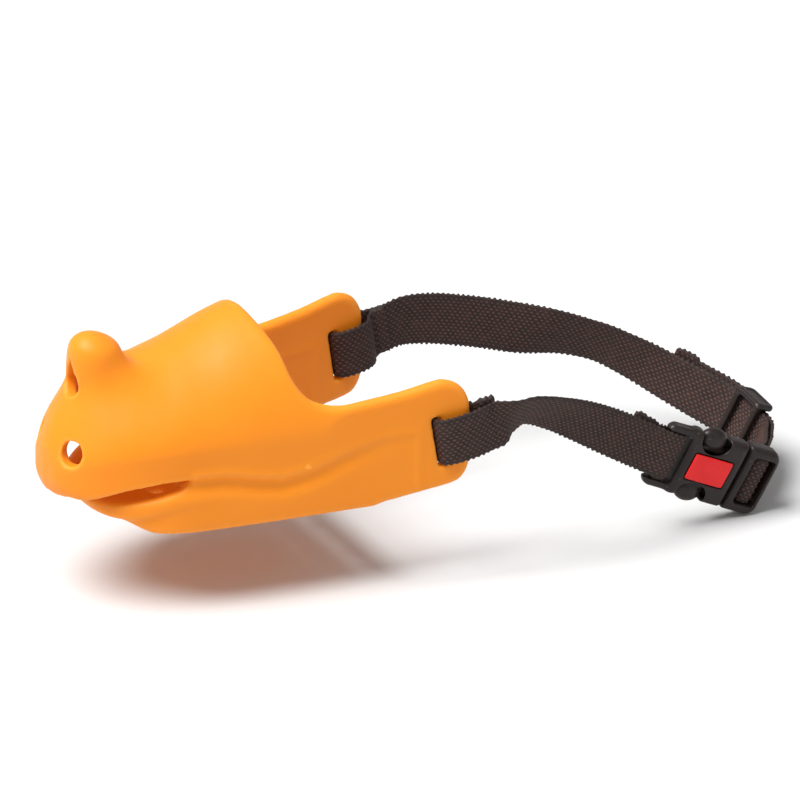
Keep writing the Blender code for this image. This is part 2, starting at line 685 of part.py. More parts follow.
def build_prong(name, side):
    """Arm with an ellipsoid button that fills the side window."""

    def button(bm):
        rings = []
        for k in range(1, 12):
            angle = math.pi * k / 12
            share = math.sin(angle)
            outline = ellipse(WINDOW_ALONG, side * (WINDOW_ACROSS - 0.1),
                              BUTTON_R_ALONG * share, BUTTON_R_ACROSS * share, 24)
            out = -BUTTON_R_OUT * math.cos(angle)
            rings.append([on_buckle(along, across, out) for along, across in outline])
        loft(bm, rings)

    arm = [(along, side * across) for along, across in PRONG]
    prong = slab(name, arm, -1.7, 1.7, 0.3, plug_plastic)
    join(prong, linked("button", button))
    settle(prong)


# ---- slider ---------------------------------------------------------------
def slider_box(name, run, width, face, ease=0.5, material=None):
    """Eased box in the slider's frame; run, width and face are (low, high)."""

    def ring(at, inset):
        run0, run1 = run[0] + inset, run[1] - inset
        face0, face1 = face[0] + inset, face[1] - inset
        corners = ((run0 + ease, face0), (run1 - ease, face0),
                   (run1, face0 + ease), (run1, face1 - ease),
                   (run1 - ease, face1), (run0 + ease, face1),
                   (run0, face1 - ease), (run0, face0 + ease))
        return [SLIDER_AT + SLIDER_RUN * a + SLIDER_WIDTH * at + SLIDER_FACE * b
                for a, b in corners]

    def make(bm):
        low, high = width
        loft(bm, [ring(low, 0.3), ring(low + 0.3, 0), ring(high - 0.3, 0), ring(high, 0.3)])

    return linked(name, make, material)


def build_slider():
    """Two rails, along the strap's edges, joined by three bars across it."""
    rail_run, rail_face = (-6.0, 6.0), (-4.2, 2.6)
    slider = slider_box("strap_slider", rail_run, (7.9, 9.9), rail_face, 1.2, plastic)
    join(slider, slider_box("slider_rail", rail_run, (-9.9, -7.9), rail_face, 1.2))
    for name, run, face in (
        ("slider_bar_a", (-5.8, -3.9), (1.0, 2.4)),
        ("slider_bar_b", (-1.0, 1.0), (-4.0, -2.65)),
        ("slider_bar_c", (3.9, 5.8), (1.0, 2.4)),
    ):
        join(slider, slider_box(name, run, (-8.8, 8.8), face))
    settle(slider)


build_shell()
build_left_strap()
build_right_strap()
build_socket()
build_badge()
build_plug()
build_prong("plug_prong_upper", -1)
build_prong("plug_prong_lower", 1)
build_slider()

# ---- origins on the joint axes ---------------------------------------------
PIVOTS = {
    "left_strap_wing_loop": Vector((BAR_X, -BAR_Y, BAR_Z)),
    "right_strap_wing_loop": Vector((BAR_X, BAR_Y, BAR_Z)),
    "left_strap_buckle_loop": Vector((FLEX_X, -BAR_Y + 0.8, 14.0)),
    "right_strap_middle": Vector((FLEX_X, BAR_Y + 0.8, 14.0)),
    "buckle_socket": BUCKLE_AT,
    "buckle_badge": BUCKLE_AT,
    "buckle_plug": on_buckle(SEAM, 0, 0),
    "right_strap_adjustable_end": on_buckle(SEAM, 0, 0),
    "plug_prong_upper": on_buckle(SEAM, -5.4, 0),
    "plug_prong_lower": on_buckle(SEAM, 5.4, 0),
    "strap_slider": SLIDER_AT,
}
for name, pivot in PIVOTS.items():
    obj = bpy.data.objects[name]
    obj.data.transform(Matrix.Translation(-pivot * MM))
    obj.location = pivot * MM

for obj in bpy.data.objects:
    obj.location.x -= ORIGIN_X * MM
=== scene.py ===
"""Looks of a silicone snout muzzle with woven neck straps, a snap buckle and a strap slider.

The nose points to -x, the left side is -y and the crest is +z. Builders work in millimetres
with x measured from the tip of the nose; add_mesh and spot turn them into metres of the frame.
"""

import math
from functools import cached_property

import bpy
import numpy as np
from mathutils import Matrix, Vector


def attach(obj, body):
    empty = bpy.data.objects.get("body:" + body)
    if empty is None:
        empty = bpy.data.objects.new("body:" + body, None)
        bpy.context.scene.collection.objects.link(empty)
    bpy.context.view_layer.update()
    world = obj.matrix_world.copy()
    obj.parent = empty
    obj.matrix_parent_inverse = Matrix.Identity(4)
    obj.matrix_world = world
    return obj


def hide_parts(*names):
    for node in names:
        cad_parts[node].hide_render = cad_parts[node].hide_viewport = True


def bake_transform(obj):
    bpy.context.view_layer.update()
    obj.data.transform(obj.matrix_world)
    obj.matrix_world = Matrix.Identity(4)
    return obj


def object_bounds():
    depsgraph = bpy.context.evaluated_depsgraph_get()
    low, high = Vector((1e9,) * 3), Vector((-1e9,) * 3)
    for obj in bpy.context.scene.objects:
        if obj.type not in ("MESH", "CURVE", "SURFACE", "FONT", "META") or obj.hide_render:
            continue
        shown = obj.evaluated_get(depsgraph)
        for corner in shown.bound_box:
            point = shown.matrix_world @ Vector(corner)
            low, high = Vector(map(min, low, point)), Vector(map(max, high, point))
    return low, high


MM = 0.001
ORIGIN_X = 41.7  # the frame's origin lies this far behind the tip of the nose
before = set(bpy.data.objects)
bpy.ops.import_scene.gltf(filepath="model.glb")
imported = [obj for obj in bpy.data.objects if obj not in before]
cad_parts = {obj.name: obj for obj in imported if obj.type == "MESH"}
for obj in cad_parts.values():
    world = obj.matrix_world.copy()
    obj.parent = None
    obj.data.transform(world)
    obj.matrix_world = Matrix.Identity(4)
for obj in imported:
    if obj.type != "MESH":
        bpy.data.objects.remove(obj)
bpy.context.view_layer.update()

# ---- silicone dimensions ----------------------------------------------------
SHELL_STEP = 0.62
SHELL_LOW, SHELL_HIGH = (-2.6, -42.2, -2.6), (124.6, 42.2, 61.4)
WIDTH_AT_NOSE, WIDTH_RATE, NOSE_ROUND = 23.54, 0.12, 40.0
CREST_AT_NOSE, CREST_RATE, BROW_ROUND = 38.2, 0.29, 15.0
BROW_FALL, BROW_ROOT = 1.9, 1.8
NOSE_TOP, NOSE_BOTTOM, BELLY, WING_RISE = 20.0, 13.0, 25.0, 14.0
NOSE_MIDDLE = 0.5 * (NOSE_TOP + NOSE_BOTTOM)
WALL, WING_WALL, NOSE_WALL, FLOOR = 3.0, 4.3, 4.0, 3.0
JAW_FRONT, JAW_TUCK, LIP_GROOVE, CHIN_SET_BACK = 9.9, -0.8, 1.9, 3.4
RIM_END = 35.5
# lower edge of the upper moulding: x, z
LIP = [(-6, 9.2), (2, 9.0), (6, 9.9), (8.5, 11.4), (12, 13.2), (17, 15.1), (27, 16.9), (35, 17.2),
       (46, 16.8), (55, 14.6), (63, 13.2), (74, 15.3), (83, 18.6), (94, 21.6), (104, 21.4),
       (130, 21.4)]
# upper edge of the jaw at the front: x, z
RIM = [(8, 8.6), (13, 8.8), (17, 9.5), (24.5, 11.4), (33, 14.0), (35.4, 16.4), (36.5, 18.6)]
# crease under the chin: x, z
CREASE = [(10, 3.4), (16.4, 3.8), (20, 4.6), (26, 6.6), (36, 9.2), (46.7, 9.4), (64.5, 7.9),
          (78.7, 11.6), (100, 14.0)]
# rear edge seen from the side, from the crest down: x, z
REAR = [(63.9, 66), (64.0, 60), (64.3, 57.5), (68.0, 49.5), (69.8, 41.5), (73.5, 36.0),
        (79.7, 33.8), (86.8, 33.8), (100, 35.2), (109, 36.9), (113.6, 37.3), (118.2, 35.2),
        (120.9, 31.0), (121.5, 26.0), (121.5, 14.0), (120.9, 9.0), (118.6, 5.3), (115.0, 3.8),
        (107, 2.6), (99.4, 1.3), (93.5, -0.4), (93.0, -6.0)]
# upright horn: z, x of its centre, radius
HORN = [(26, 18.8, 12.8), (30, 18.7, 12.0), (34, 18.5, 10.8), (38, 18.2, 9.8), (42, 17.6, 9.0),
        (46, 17.3, 8.7), (50, 17.1, 8.3), (53, 16.7, 7.6), (55, 16.1, 6.3), (56, 15.7, 4.7),
        (57, 15.3, 2.5), (57.6, 15.1, 0.6)]
HORN_WALL = 3.0
TEAR_Z, TEAR_R, TEAR_TOP = 42.6, 3.9, 49.8
VENT_X, VENT_Y, VENT_Z, VENT_R, VENT_TURN = 4.9, 10.0, 24.7, 3.6, math.radians(33.0)
FLOOR_HOLE_R, FLOOR_PITCH, FLOOR_PITCH_Y, FLOOR_FIRST, FLOOR_ROWS = 2.3, 9.8, 10.0, 36.8, 6
SLOT_X, SLOT_Z, SLOT_TILT = 111.2, 18.4, math.radians(8.5)
HOLE_X, HOLE_Z, HOLE_WIDE, HOLE_TALL, HOLE_CORNER = 111.75, 18.2, 2.9, 15.9, 0.9

# ---- webbing dimensions -----------------------------------------------------
BAR_X, BAR_Y = 117.3, 35.6  # centre of the wing bar that each strap loops round
WEB, THICK = 15.0, 1.3
LAYER = THICK + 0.35  # from one strap layer to the next
COLUMNS = 32  # mesh columns across the tape, two to a row of the weave
ROW = 2 * WEB / COLUMNS
PITCH = 1.75  # length of one float of the weave
WING_SEAM_X = 128.7

# ---- buckle and slider dimensions -------------------------------------------
# buckle frame: along from socket to plug, across downwards, out through the label
BUCKLE_UPRIGHT = (0.4256, -0.15, 0.8924)
BUCKLE_AT = Vector((187.7, -37.0, -1.2))
BUCKLE_ALONG = Vector((0.9026, 0.0, -0.4305)).normalized()
BUCKLE_ACROSS = -Vector(BUCKLE_UPRIGHT).normalized()
BUCKLE_ACROSS -= BUCKLE_ALONG * BUCKLE_ACROSS.dot(BUCKLE_ALONG)
BUCKLE_ACROSS.normalize()
BUCKLE_OUT = -BUCKLE_ALONG.cross(BUCKLE_ACROSS)
BUCKLE_FRAME = (BUCKLE_AT, BUCKLE_ALONG, BUCKLE_ACROSS, BUCKLE_OUT)
HALF_ACROSS, HALF_OUT, SEAM, SEAM_GAP, PLUG_END = 10.8, 3.6, 22.3, 0.15, 34.0
SOCKET_START = 2.6
WINDOW_AT, WINDOW_HALF = (10.2, 8.9), (4.9, 3.9)  # along, across
CAVITY_ACROSS, CAVITY_OUT = 9.5, 2.5
BADGE_AT, BADGE_HALF = 11.8, (6.75, 4.3)
PLASTIC_STEP, BADGE_STEP = 0.2, 0.13
# slider frame: along the strap, across its width, out of its face
SLIDER_AT = Vector((226.8, -4.0, -11.8))
SLIDER_ALONG = Vector((0.12, -0.97, -0.2)).normalized()
SLIDER_ACROSS = SLIDER_ALONG.cross(Vector(BUCKLE_UPRIGHT)).normalized()
SLIDER_ACROSS = SLIDER_ACROSS.cross(SLIDER_ALONG).normalized()
SLIDER_FRAME = (SLIDER_AT, SLIDER_ALONG, SLIDER_ACROSS, SLIDER_ALONG.cross(SLIDER_ACROSS))

# ---- colours and light ------------------------------------------------------
SILICONE_DARK, SILICONE_LIGHT = (0.71, 0.212, 0.008), (0.75, 0.236, 0.010)
# colour of the lighter edges: partly rubbed wear, partly a painted highlight in the colour of the lit
# top
SILICONE_EDGE_WEAR_AND_HIGHLIGHT = (1.0, 0.50, 0.09)
KEY_POWER, FILL_POWER, WORLD_STRENGTH = 158.0, 3.0, 0.43


# ---- distance fields --------------------------------------------------------
def soft_max(first, second, reach):
    """The larger of two fields, rounded where they differ by less than reach."""
    share = np.maximum(reach - np.abs(first - second), 0.0) / reach
    return np.maximum(first, second) + share * share * reach * 0.25


def soft_min(first, second, reach):
    return -soft_max(-first, -second, reach)


def soft_cut(field, hole, reach):
    """A field with a hole taken out of it."""
    return soft_max(field, -hole, reach)


def grid(low, high, step):
    axes = [np.arange(a, b + step, step, dtype=np.float32) for a, b in zip(low, high)]
    return axes[0][:, None, None], axes[1][None, :, None], axes[2][None, None, :]


def unit(field):
    """The field over its own slope, so that it reads as a distance near its surface."""
    field = field.astype(np.float32)
    slope_x, slope_y, slope_z = np.gradient(field, SHELL_STEP)
    size = np.sqrt(slope_x * slope_x + slope_y * slope_y + slope_z * slope_z)
    return np.clip(field / np.maximum(size, 0.35), -20, 20)


def plate(first, second, half_first, half_second, corner):
    """2-D distance to a rounded rectangle."""
    past_a = np.abs(first) - (half_first - corner)
    past_b = np.abs(second) - (half_second - corner)
    outside = np.sqrt(np.maximum(past_a, 0) ** 2 + np.maximum(past_b, 0) ** 2)
    return outside + np.minimum(np.maximum(past_a, past_b), 0) - corner


def polygon_distance(outline, first, second):
    """Signed distance to a closed outline on a 2-D grid, negative inside."""
    best = np.full(np.broadcast(first, second).shape, 1e9, np.float32)
    inside = np.zeros(best.shape, bool)
    for (start_a, start_b), (end_a, end_b) in zip(outline, outline[1:] + outline[:1]):
        run, climb = end_a - start_a, end_b - start_b
        span = run * run + climb * climb
        share = np.clip(((first - start_a) * run + (second - start_b) * climb) / span, 0, 1)
        gap = (first - start_a - share * run) ** 2 + (second - start_b - share * climb) ** 2
        best = np.minimum(best, gap)
        if climb != 0:
            level = (second >= min(start_b, end_b)) & (second < max(start_b, end_b))
            inside ^= level & (first < start_a + (second - start_b) * run / climb)
    return np.where(inside, -1.0, 1.0).astype(np.float32) * np.sqrt(best)


# ---- meshes -----------------------------------------------------------------
def surface_net(field, low, step):
    """Quad mesh of the zero level of a field sampled on a grid."""
    inside = field < 0
    cells = tuple(size - 1 for size in field.shape)
    total = np.zeros((*cells, 3), np.float32)
    count = np.zeros(cells, np.float32)
    crossings = []
    for axis in range(3):
        near, far = [slice(None)] * 3, [slice(None)] * 3
        near[axis], far[axis] = slice(0, -1), slice(1, None)
        near, far = tuple(near), tuple(far)
        crossed = inside[near] != inside[far]
        at = np.argwhere(crossed)
        value = field[near][crossed]
        point = at.astype(np.float32)
        point[:, axis] += value / (value - field[far][crossed])
        crossings.append((at, inside[near][crossed]))
        others = [k for k in range(3) if k != axis]
        for i in (0, 1):
            for j in (0, 1):
                cell = at.copy()
                cell[:, others[0]] -= i
                cell[:, others[1]] -= j
                valid = ((cell >= 0) & (cell < np.array(cells))).all(axis=1)
                # no cell comes twice in this list, so adding by index is safe
                where = tuple(cell[valid].T)
                total[where] += point[valid]
                count[where] += 1
    used = count > 0
    index = np.full(cells, -1, np.int64)
    index[used] = np.arange(used.sum())
    points = total[used] / count[used][:, None] * step + np.array(low, np.float32)
    quads = []
    for axis, (at, start_in) in enumerate(crossings):
        first, second = [(1, 2), (2, 0), (0, 1)][axis]
        valid = (at[:, first] >= 1) & (at[:, second] >= 1)
        valid &= (at[:, first] < cells[first]) & (at[:, second] < cells[second])
        at, start_in = at[valid], start_in[valid]
        ring = []
        for i, j in ((1, 1), (0, 1), (0, 0), (1, 0)):
            cell = at.copy()
            cell[:, first] -= i
            cell[:, second] -= j
            ring.append(index[tuple(cell.T)])
        ring = np.stack(ring, axis=1)
        ring[~start_in] = ring[~start_in][:, ::-1]
        quads.append(ring)
    return points.astype(np.float64), np.concatenate(quads)


def relaxed(points, quads, rounds, keep=0.0):
    """Evens a mesh out: each round is a shrinking step and, unless keep is 0, a growing one."""
    start, end = np.concatenate([quads[:, [i, (i + 1) % 4]] for i in range(4)]).T
    total = len(points)
    degree = np.bincount(start, minlength=total) + np.bincount(end, minlength=total)
    for _ in range(rounds):
        for share in (0.55, -0.57 * keep) if keep else (0.55,):
            sums = [
                np.bincount(start, points[end, k], total) + np.bincount(end, points[start, k], total)
                for k in range(3)
            ]
            mean = np.stack(sums, axis=1) / np.maximum(degree, 1)[:, None]
            points = points + share * (mean - points)
    return points


def large_pieces(points, quads):
    """Drops the small loose bits that a field can leave."""
    start, end = np.concatenate([quads[:, [i, i + 1]] for i in range(3)]).T
    label = np.arange(len(points))
    while True:
        lowest = np.minimum(label[start], label[end])
        new = label.copy()
        np.minimum.at(new, start, lowest)
        np.minimum.at(new, end, lowest)
        new = new[new]
        if (new == label).all():
            break
        label = new
    names, sizes = np.unique(label, return_counts=True)
    kept = np.isin(label, names[sizes > 0.02 * len(points)])
    number = np.cumsum(kept) - 1
    return points[kept], number[quads[kept[quads[:, 0]]]]


def facing_out(points, quads):
    """Quads turned so that the enclosed volume is positive."""
    first, second, third, fourth = (points[quads[:, i]] for i in range(4))
    volume = (first * np.cross(second, third)).sum() + (first * np.cross(third, fourth)).sum()
    return quads if volume > 0 else quads[:, ::-1]


def add_mesh(name, points, quads, material, uv=None):
    """A smooth object from points in millimetres, with its faces turned outwards."""
    quads = facing_out(points, quads)
    mesh = bpy.data.meshes.new(name)
    mesh.vertices.add(len(points))
    places = (points - (ORIGIN_X, 0, 0)) * MM
    mesh.vertices.foreach_set("co", places.astype(np.float32).ravel())
    mesh.loops.add(quads.size)
    mesh.loops.foreach_set("vertex_index", quads.astype(np.int32).ravel())
    mesh.polygons.add(len(quads))
    mesh.polygons.foreach_set("loop_start", (np.arange(len(quads)) * 4).astype(np.int32))
    mesh.update(calc_edges=True)
    mesh.validate()
    if uv is not None:
        layer = mesh.uv_layers.new(name="strap")
        layer.data.foreach_set("uv", uv[quads.ravel()].astype(np.float32).ravel())
    mesh.polygons.foreach_set("use_smooth", np.ones(len(mesh.polygons), bool))
    made = bpy.data.objects.new(name, mesh)
    bpy.context.scene.collection.objects.link(made)
    mesh.materials.append(material)
    return made


# ---- silicone moulding ------------------------------------------------------
def rounding(share, fall=2.5, root=2.2):
    """Rises from 0 to 1 in a blunt curve: fall shapes its end, root its start."""
    share = np.clip(share, 0.0, 1.0)
    return (1 - (1 - share) ** fall) ** (1 / root)


def rising(value, start, length):
    return np.clip((value - start) / length, 0, 1)


def eased(value, start, length, size=1.0):
    """Rises from 0 to size with level ends."""
    share = rising(value, start, length)
    return size * share * share * (3 - 2 * share)


def logistic(value):
    return 1 / (1 + np.exp(-value))


def side_line(x):
    return WIDTH_AT_NOSE + WIDTH_RATE * x


def softened(points, x, width):
    """A list of (x, value) read as a smooth line; width is the spread of the smoothing."""
    spacing = 0.25
    fine = np.arange(-40, 170, spacing)
    value = np.interp(fine, *zip(*points))
    reach = np.arange(-4 * width, 4 * width + 0.1, spacing)
    weight = np.exp(-0.5 * (reach / width) ** 2)
    padded = np.pad(value, len(reach) // 2, mode="edge")
    line = np.convolve(padded, weight / weight.sum(), mode="valid")[: len(fine)]
    return np.interp(x, fine, line).astype(np.float32)


def catmull(points, pieces):
    """A smooth outline through points, with each span cut into pieces."""
    points = [points[0]] + points + [points[-1]]
    made = []
    for a, b, c, d in zip(points, points[1:], points[2:], points[3:]):
        for k in range(pieces):
            t = k / pieces
            made.append(tuple(
                0.5 * (2 * b[i] + (c[i] - a[i]) * t
                       + (2 * a[i] - 5 * b[i] + 4 * c[i] - d[i]) * t * t
                       + (3 * b[i] - a[i] - 3 * c[i] + d[i]) * t**3)
                for i in range(2)
            ))
    made.append(points[-2])
    return made


def belly_line(x, from_front):
    """Height at which the sides are widest."""
    swell = (BELLY - NOSE_MIDDLE) * rounding(from_front / 28.0, 2.0, 2.0)
    return NOSE_MIDDLE + swell + eased(x, 73.0, 20.0, WING_RISE)


def dome(abs_y, z, half, top, middle, from_front):
    """A vault: upright sides below its middle, a superellipse above it."""
    power = 1.50 + 0.18 * rising(from_front, 0, 30.0)
    height = np.maximum(top - middle, 0.5)
    width = np.maximum(half, 0.05)
    up = np.clip((z - middle) / height, 0, None)
    across = abs_y / width
    reach = half * np.maximum(1 - up**power, 0) ** (1 / power)
    by_side = abs_y - reach + np.maximum(up - 1, 0) * height
    climb = height * np.maximum(1 - across**power, 0) ** (1 / power)
    by_top = z - middle - climb + np.maximum(across - 1, 0) * width
    by_top = np.where(z > middle, by_top, -9)
    return np.where(up > across, unit(by_top), unit(by_side))


def horn_fields(x, y, z):
    """The horn and the hollow inside it."""
    heights, centres, radii = (np.array(column) for column in zip(*HORN))
    level = z.ravel()
    from_axis = np.sqrt((x - np.interp(level, heights, centres)[None, None, :]) ** 2 + y * y)
    # smoothing the squared radius keeps the tip round
    dense = np.linspace(heights[0], heights[-1], 440)
    squared = np.interp(dense, heights, radii**2)
    kernel = np.exp(-0.5 * (np.arange(-40, 41) / 14.0) ** 2)
    squared = np.pad(squared, 40, mode="reflect", reflect_type="odd")
    squared = np.convolve(squared, kernel / kernel.sum(), mode="valid")
    radius = np.sqrt(np.maximum(np.interp(level, dense, squared, right=0), 0))[None, None, :]
    horn = unit(from_axis - radius + np.maximum(z - 57.5, 0))
    horn = soft_max(horn, 28.0 - z, 3.0)
    inner = np.maximum(np.interp(level + 2.5, heights, radii) - HORN_WALL, 1.6)
    hollow = np.maximum(from_axis - inner[None, None, :], z - 51.5)
    return horn, hollow.astype(np.float32)


def upper_moulding(x, y, z, lip):
    abs_y = np.abs(y)
    half = side_line(x) * rounding(x / NOSE_ROUND) - np.maximum(-x, 0)
    crest = CREST_AT_NOSE + CREST_RATE * x - 0.8 + eased(x, 42.0, 18.0, 1.9)
    top = NOSE_TOP + (crest - NOSE_TOP) * rounding(x / BROW_ROUND, BROW_FALL, BROW_ROOT)
    hood = dome(abs_y, z, half, top, belly_line(x, x), x)
    horn, horn_hollow = horn_fields(x, y, z)
    # the horn flows into the hood more gently at its sides and rear
    spread = np.clip(1 - np.exp(-((y / 6.0) ** 2)), 0, 1) * (0.35 + 0.65 * 1 / (
        1 + np.exp(-(x - 11) / 2.5))) if False else np.clip(
        1 - np.exp(-((y / 6.0) ** 2)), 0, 1) * (0.35 + 0.65 / (1 + np.exp(-(x - 11) / 2.5)))
    body = soft_min(hood, horn, 3.0 + 4.0 / (1 + np.exp(-(x - 20) / 2.0)) + 7.0 * spread)
    # inside, set back from the nose
    inner_x = x - NOSE_WALL
    wall = WALL + (WING_WALL - WALL) * rising(x, 74, 15)
    half = (side_line(x + 0.2) - wall) * rounding(inner_x / (NOSE_ROUND - NOSE_WALL))
    half = half - np.maximum(-inner_x, 0)
    crest = CREST_AT_NOSE + CREST_RATE * inner_x - WALL - NOSE_TOP + 1
    top = NOSE_TOP - 1 + crest * rounding(inner_x / BROW_ROUND, 2.2, 2.0)
    middle = np.maximum(belly_line(x, inner_x) - 1, 10)
    space = dome(abs_y, z, half, top, middle, inner_x)
    body = soft_cut(body, soft_min(space, horn_hollow, 2.0), 0.9)
    lip_round = 0.8 + 6.2 * np.exp(-((np.maximum(x, 0) / 7.0) ** 2))
    return soft_max(body, np.minimum(lip - z, 104.0 - x), lip_round)


def lower_jaw(x, y, z, lip):
    abs_y, wide = np.abs(y), side_line(x)

    def jaw_half(front, tuck):
        return wide * rounding((x - front) / (NOSE_ROUND - front)) - tuck

    tuck = JAW_TUCK * (1 - eased(x, 55.0, 38.0))
    half = jaw_half(JAW_FRONT, tuck) - np.maximum(JAW_FRONT - x, 0)
    rim = np.where(x < RIM_END, softened(RIM, x, 0.8), lip + 2.5)
    floor_line = 3.5 * (1 - eased(x, 16.5, 10.0))
    floor_line = floor_line + 3.6 * np.exp(-((np.maximum(x - 9.0, 0) / 3.0) ** 2))
    # groove just under the lip, fading to the rear
    fade = np.clip((103 - x) / 44.0, 0.06, 1.0)
    band = lip - 1.9 - z
    sink = LIP_GROOVE * fade * np.exp(-((band / 2.6) ** 2)) * rising(x, 20, 14)
    # below the crease the chin steps back
    chin_x = CHIN_SET_BACK
    chin = wide * rounding((x - JAW_FRONT - chin_x) / (NOSE_ROUND - JAW_FRONT - chin_x))
    chin = chin - tuck - 0.5 - np.maximum(JAW_FRONT + chin_x - x, 0)
    below = logistic(np.clip((softened(CREASE, x, 2.0) - z) / 0.5, -30, 30))
    below = below * np.clip((44 - x) / 18, 0, 1)
    jaw = unit(abs_y - (half - sink + (chin - half) * below))
    jaw = soft_max(jaw, floor_line - z, 2.4)
    jaw = soft_max(jaw, z - rim, 1.6)
    # inside
    inner = (wide - 3.9 - 0.38 * rising(x, 74, 15)) * rounding((x - 12.1) / 26)
    inner = inner - np.maximum(12.1 - x, 0)
    base = np.maximum(FLOOR, 8 - 5 * (x - 12.2) / 9)
    # 0 * z fills the whole grid, which the slope in unit needs
    hollow = soft_max(unit(abs_y - inner + 0 * z), base - z, 3.0)
    jaw = soft_cut(jaw, hollow, 1.2)
    jaw = np.maximum(jaw, x - 106)
    rear_gap = np.maximum(np.maximum(93.2 - x, abs_y - 30.4), z - 12.0)
    return soft_cut(jaw, rear_gap, 1.0)


def nearest(value, pitch):
    """Signed distance to the nearest multiple of a pitch."""
    return (value + pitch / 2) % pitch - pitch / 2


def with_openings(body, x, y, z):
    abs_y = np.abs(y)
    # a round vent on each side of the nose
    for sign in (-1, 1):
        side_y = y - sign * VENT_Y
        along = (x - VENT_X) * math.cos(VENT_TURN) - sign * side_y * math.sin(VENT_TURN)
        across = (x - VENT_X) * math.sin(VENT_TURN) + sign * side_y * math.cos(VENT_TURN)
        round_hole = np.sqrt(across**2 + (z - VENT_Z) ** 2) - VENT_R
        body = soft_cut(body, np.maximum(round_hole, np.abs(along) - 9), 0.7)
    # teardrop in the front of the horn
    taper = rising(z, TEAR_Z, TEAR_TOP - TEAR_Z)
    bowl = np.sqrt(y**2 + (z - TEAR_Z) ** 2) - TEAR_R
    drop = np.where(z < TEAR_Z, bowl, (abs_y - TEAR_R * (1 - taper**1.25)) * 0.92)
    drop = np.maximum(np.maximum(drop, z - TEAR_TOP - 0.4), x - 13)
    body = soft_cut(body, drop, 0.8)
    # strap slot in each wing
    turn_cos, turn_sin = math.cos(SLOT_TILT), math.sin(SLOT_TILT)
    wide = (x - HOLE_X) * turn_cos + (z - HOLE_Z) * turn_sin
    tall = -(x - HOLE_X) * turn_sin + (z - HOLE_Z) * turn_cos
    slot = plate(wide, tall, HOLE_WIDE / 2, HOLE_TALL / 2, HOLE_CORNER)
    body = soft_cut(body, np.maximum(slot, 25 - abs_y), 0.9)
    # rows of round holes in the floor
    near_x, near_y = nearest(x - FLOOR_FIRST, FLOOR_PITCH), nearest(y, FLOOR_PITCH_Y)
    in_rows = (x > FLOOR_FIRST - FLOOR_PITCH / 2) & (abs_y < 25)
    in_rows = in_rows & (x < FLOOR_FIRST + (FLOOR_ROWS - 0.5) * FLOOR_PITCH)
    holes = np.where(in_rows, np.sqrt(near_x**2 + near_y**2) - FLOOR_HOLE_R, 5.0)
    return soft_cut(body, np.maximum(holes, z - 6).astype(np.float32), 0.6)


def silicone_shell(material):
    x, y, z = grid(SHELL_LOW, SHELL_HIGH, SHELL_STEP)
    lip = softened(LIP, x, 1.6)
    body = soft_min(upper_moulding(x, y, z, lip), lower_jaw(x, y, z, lip), 0.7)
    body = with_openings(body, x, y, z)
    outline = catmull(REAR, 5) + [(-30, -30), (-30, 80)]
    trim = polygon_distance(outline, x[:, :, 0], z[0, 0, :][None, :])
    body = soft_max(body, trim[:, None, :], 2.6)
    points, quads = large_pieces(*surface_net(body, SHELL_LOW, SHELL_STEP))
    points = relaxed(points, quads, rounds=5, keep=0.96)
    points = relaxed(points, quads, rounds=1)
    return add_mesh("silicone_muzzle", points, quads, material)


# ---- strap paths ------------------------------------------------------------
# a row of a path is x, y, z of the tape's middle, then the direction of its width
def hermite(share, span, start, start_slope, end, end_slope):
    return (
        (2 * share**3 - 3 * share**2 + 1) * start
        + (share**3 - 2 * share**2 + share) * span * start_slope
        + (3 * share**2 - 2 * share**3) * end
        + (share**3 - share**2) * span * end_slope
    )


def chord_lengths(rows):
    return np.linalg.norm(np.diff(rows[:, :3], axis=0), axis=1)


def curve_through(points, step):
    """Rows about a step apart on a smooth curve through the given rows."""
    points = np.array(points, float)
    chords = np.maximum(chord_lengths(points), 1e-6)
    at = np.concatenate([[0], np.cumsum(chords)])
    last = len(points) - 1
    before = np.maximum(np.arange(last + 1) - 1, 0)
    after = np.minimum(np.arange(last + 1) + 1, last)
    slopes = (points[after] - points[before]) / (at[after] - at[before])[:, None]
    rows = []
    for i, span in enumerate(chords):
        pieces = max(1, round(float(span / step)))
        ends = (points[i], slopes[i], points[i + 1], slopes[i + 1])
        for j in range(pieces + (i == last - 1)):
            rows.append(hermite(j / pieces, span, *ends))
    return rows


def first_beyond(rows, x_limit, after):
    """The first row past an x, leaving out the rows of the wing loop."""
    return next(i for i, row in enumerate(rows) if i > after and row[0] > x_limit)


def inner_layer(rows, first, last):
    """Rows first to last moved one layer towards the other face."""
    made = []
    for i in range(first, last + 1):
        before, after = rows[max(i - 1, 0)], rows[min(i + 1, len(rows) - 1)]
        along = (Vector(after[:3]) - Vector(before[:3])).normalized()
        across = Vector(rows[i][3:6])
        across = (across - along * across.dot(along)).normalized()
        made.append((*(Vector(rows[i][:3]) - along.cross(across) * LAYER), *across))
    return made


# loop round the wing bar: x from the bar, distance out from it
WING_LOOP = [(13.2, 1.25), (9.8, 1.15), (7.7, 0.2), (6.2, -2.7), (3.3, -4.35), (-2.3, -4.75),
             (-5.6, -3.4), (-6.1, -0.2), (-5.5, 2.7), (-2.4, 4.0), (2.5, 4.35), (6.4, 4.1),
             (9.6, 3.4), (13.2, 3.0)]


def wing_loop(side):
    rows = []
    for from_bar, out in WING_LOOP:
        x = BAR_X + from_bar
        z = SLOT_Z + (x - SLOT_X) * math.tan(SLOT_TILT) + 0.1
        rows.append((x, side * (BAR_Y + out), z, -math.sin(SLOT_TILT), 0.0, math.cos(SLOT_TILT)))
    return rows


def on_buckle(along, across, out):
    return BUCKLE_AT + BUCKLE_ALONG * along + BUCKLE_ACROSS * across + BUCKLE_OUT * out


def buckle_row(along, out, across=0.0):
    return (*on_buckle(along, across, out), *(-BUCKLE_ACROSS))


def slider_row(along):
    return (*(SLIDER_AT + SLIDER_ALONG * along), *SLIDER_ACROSS)


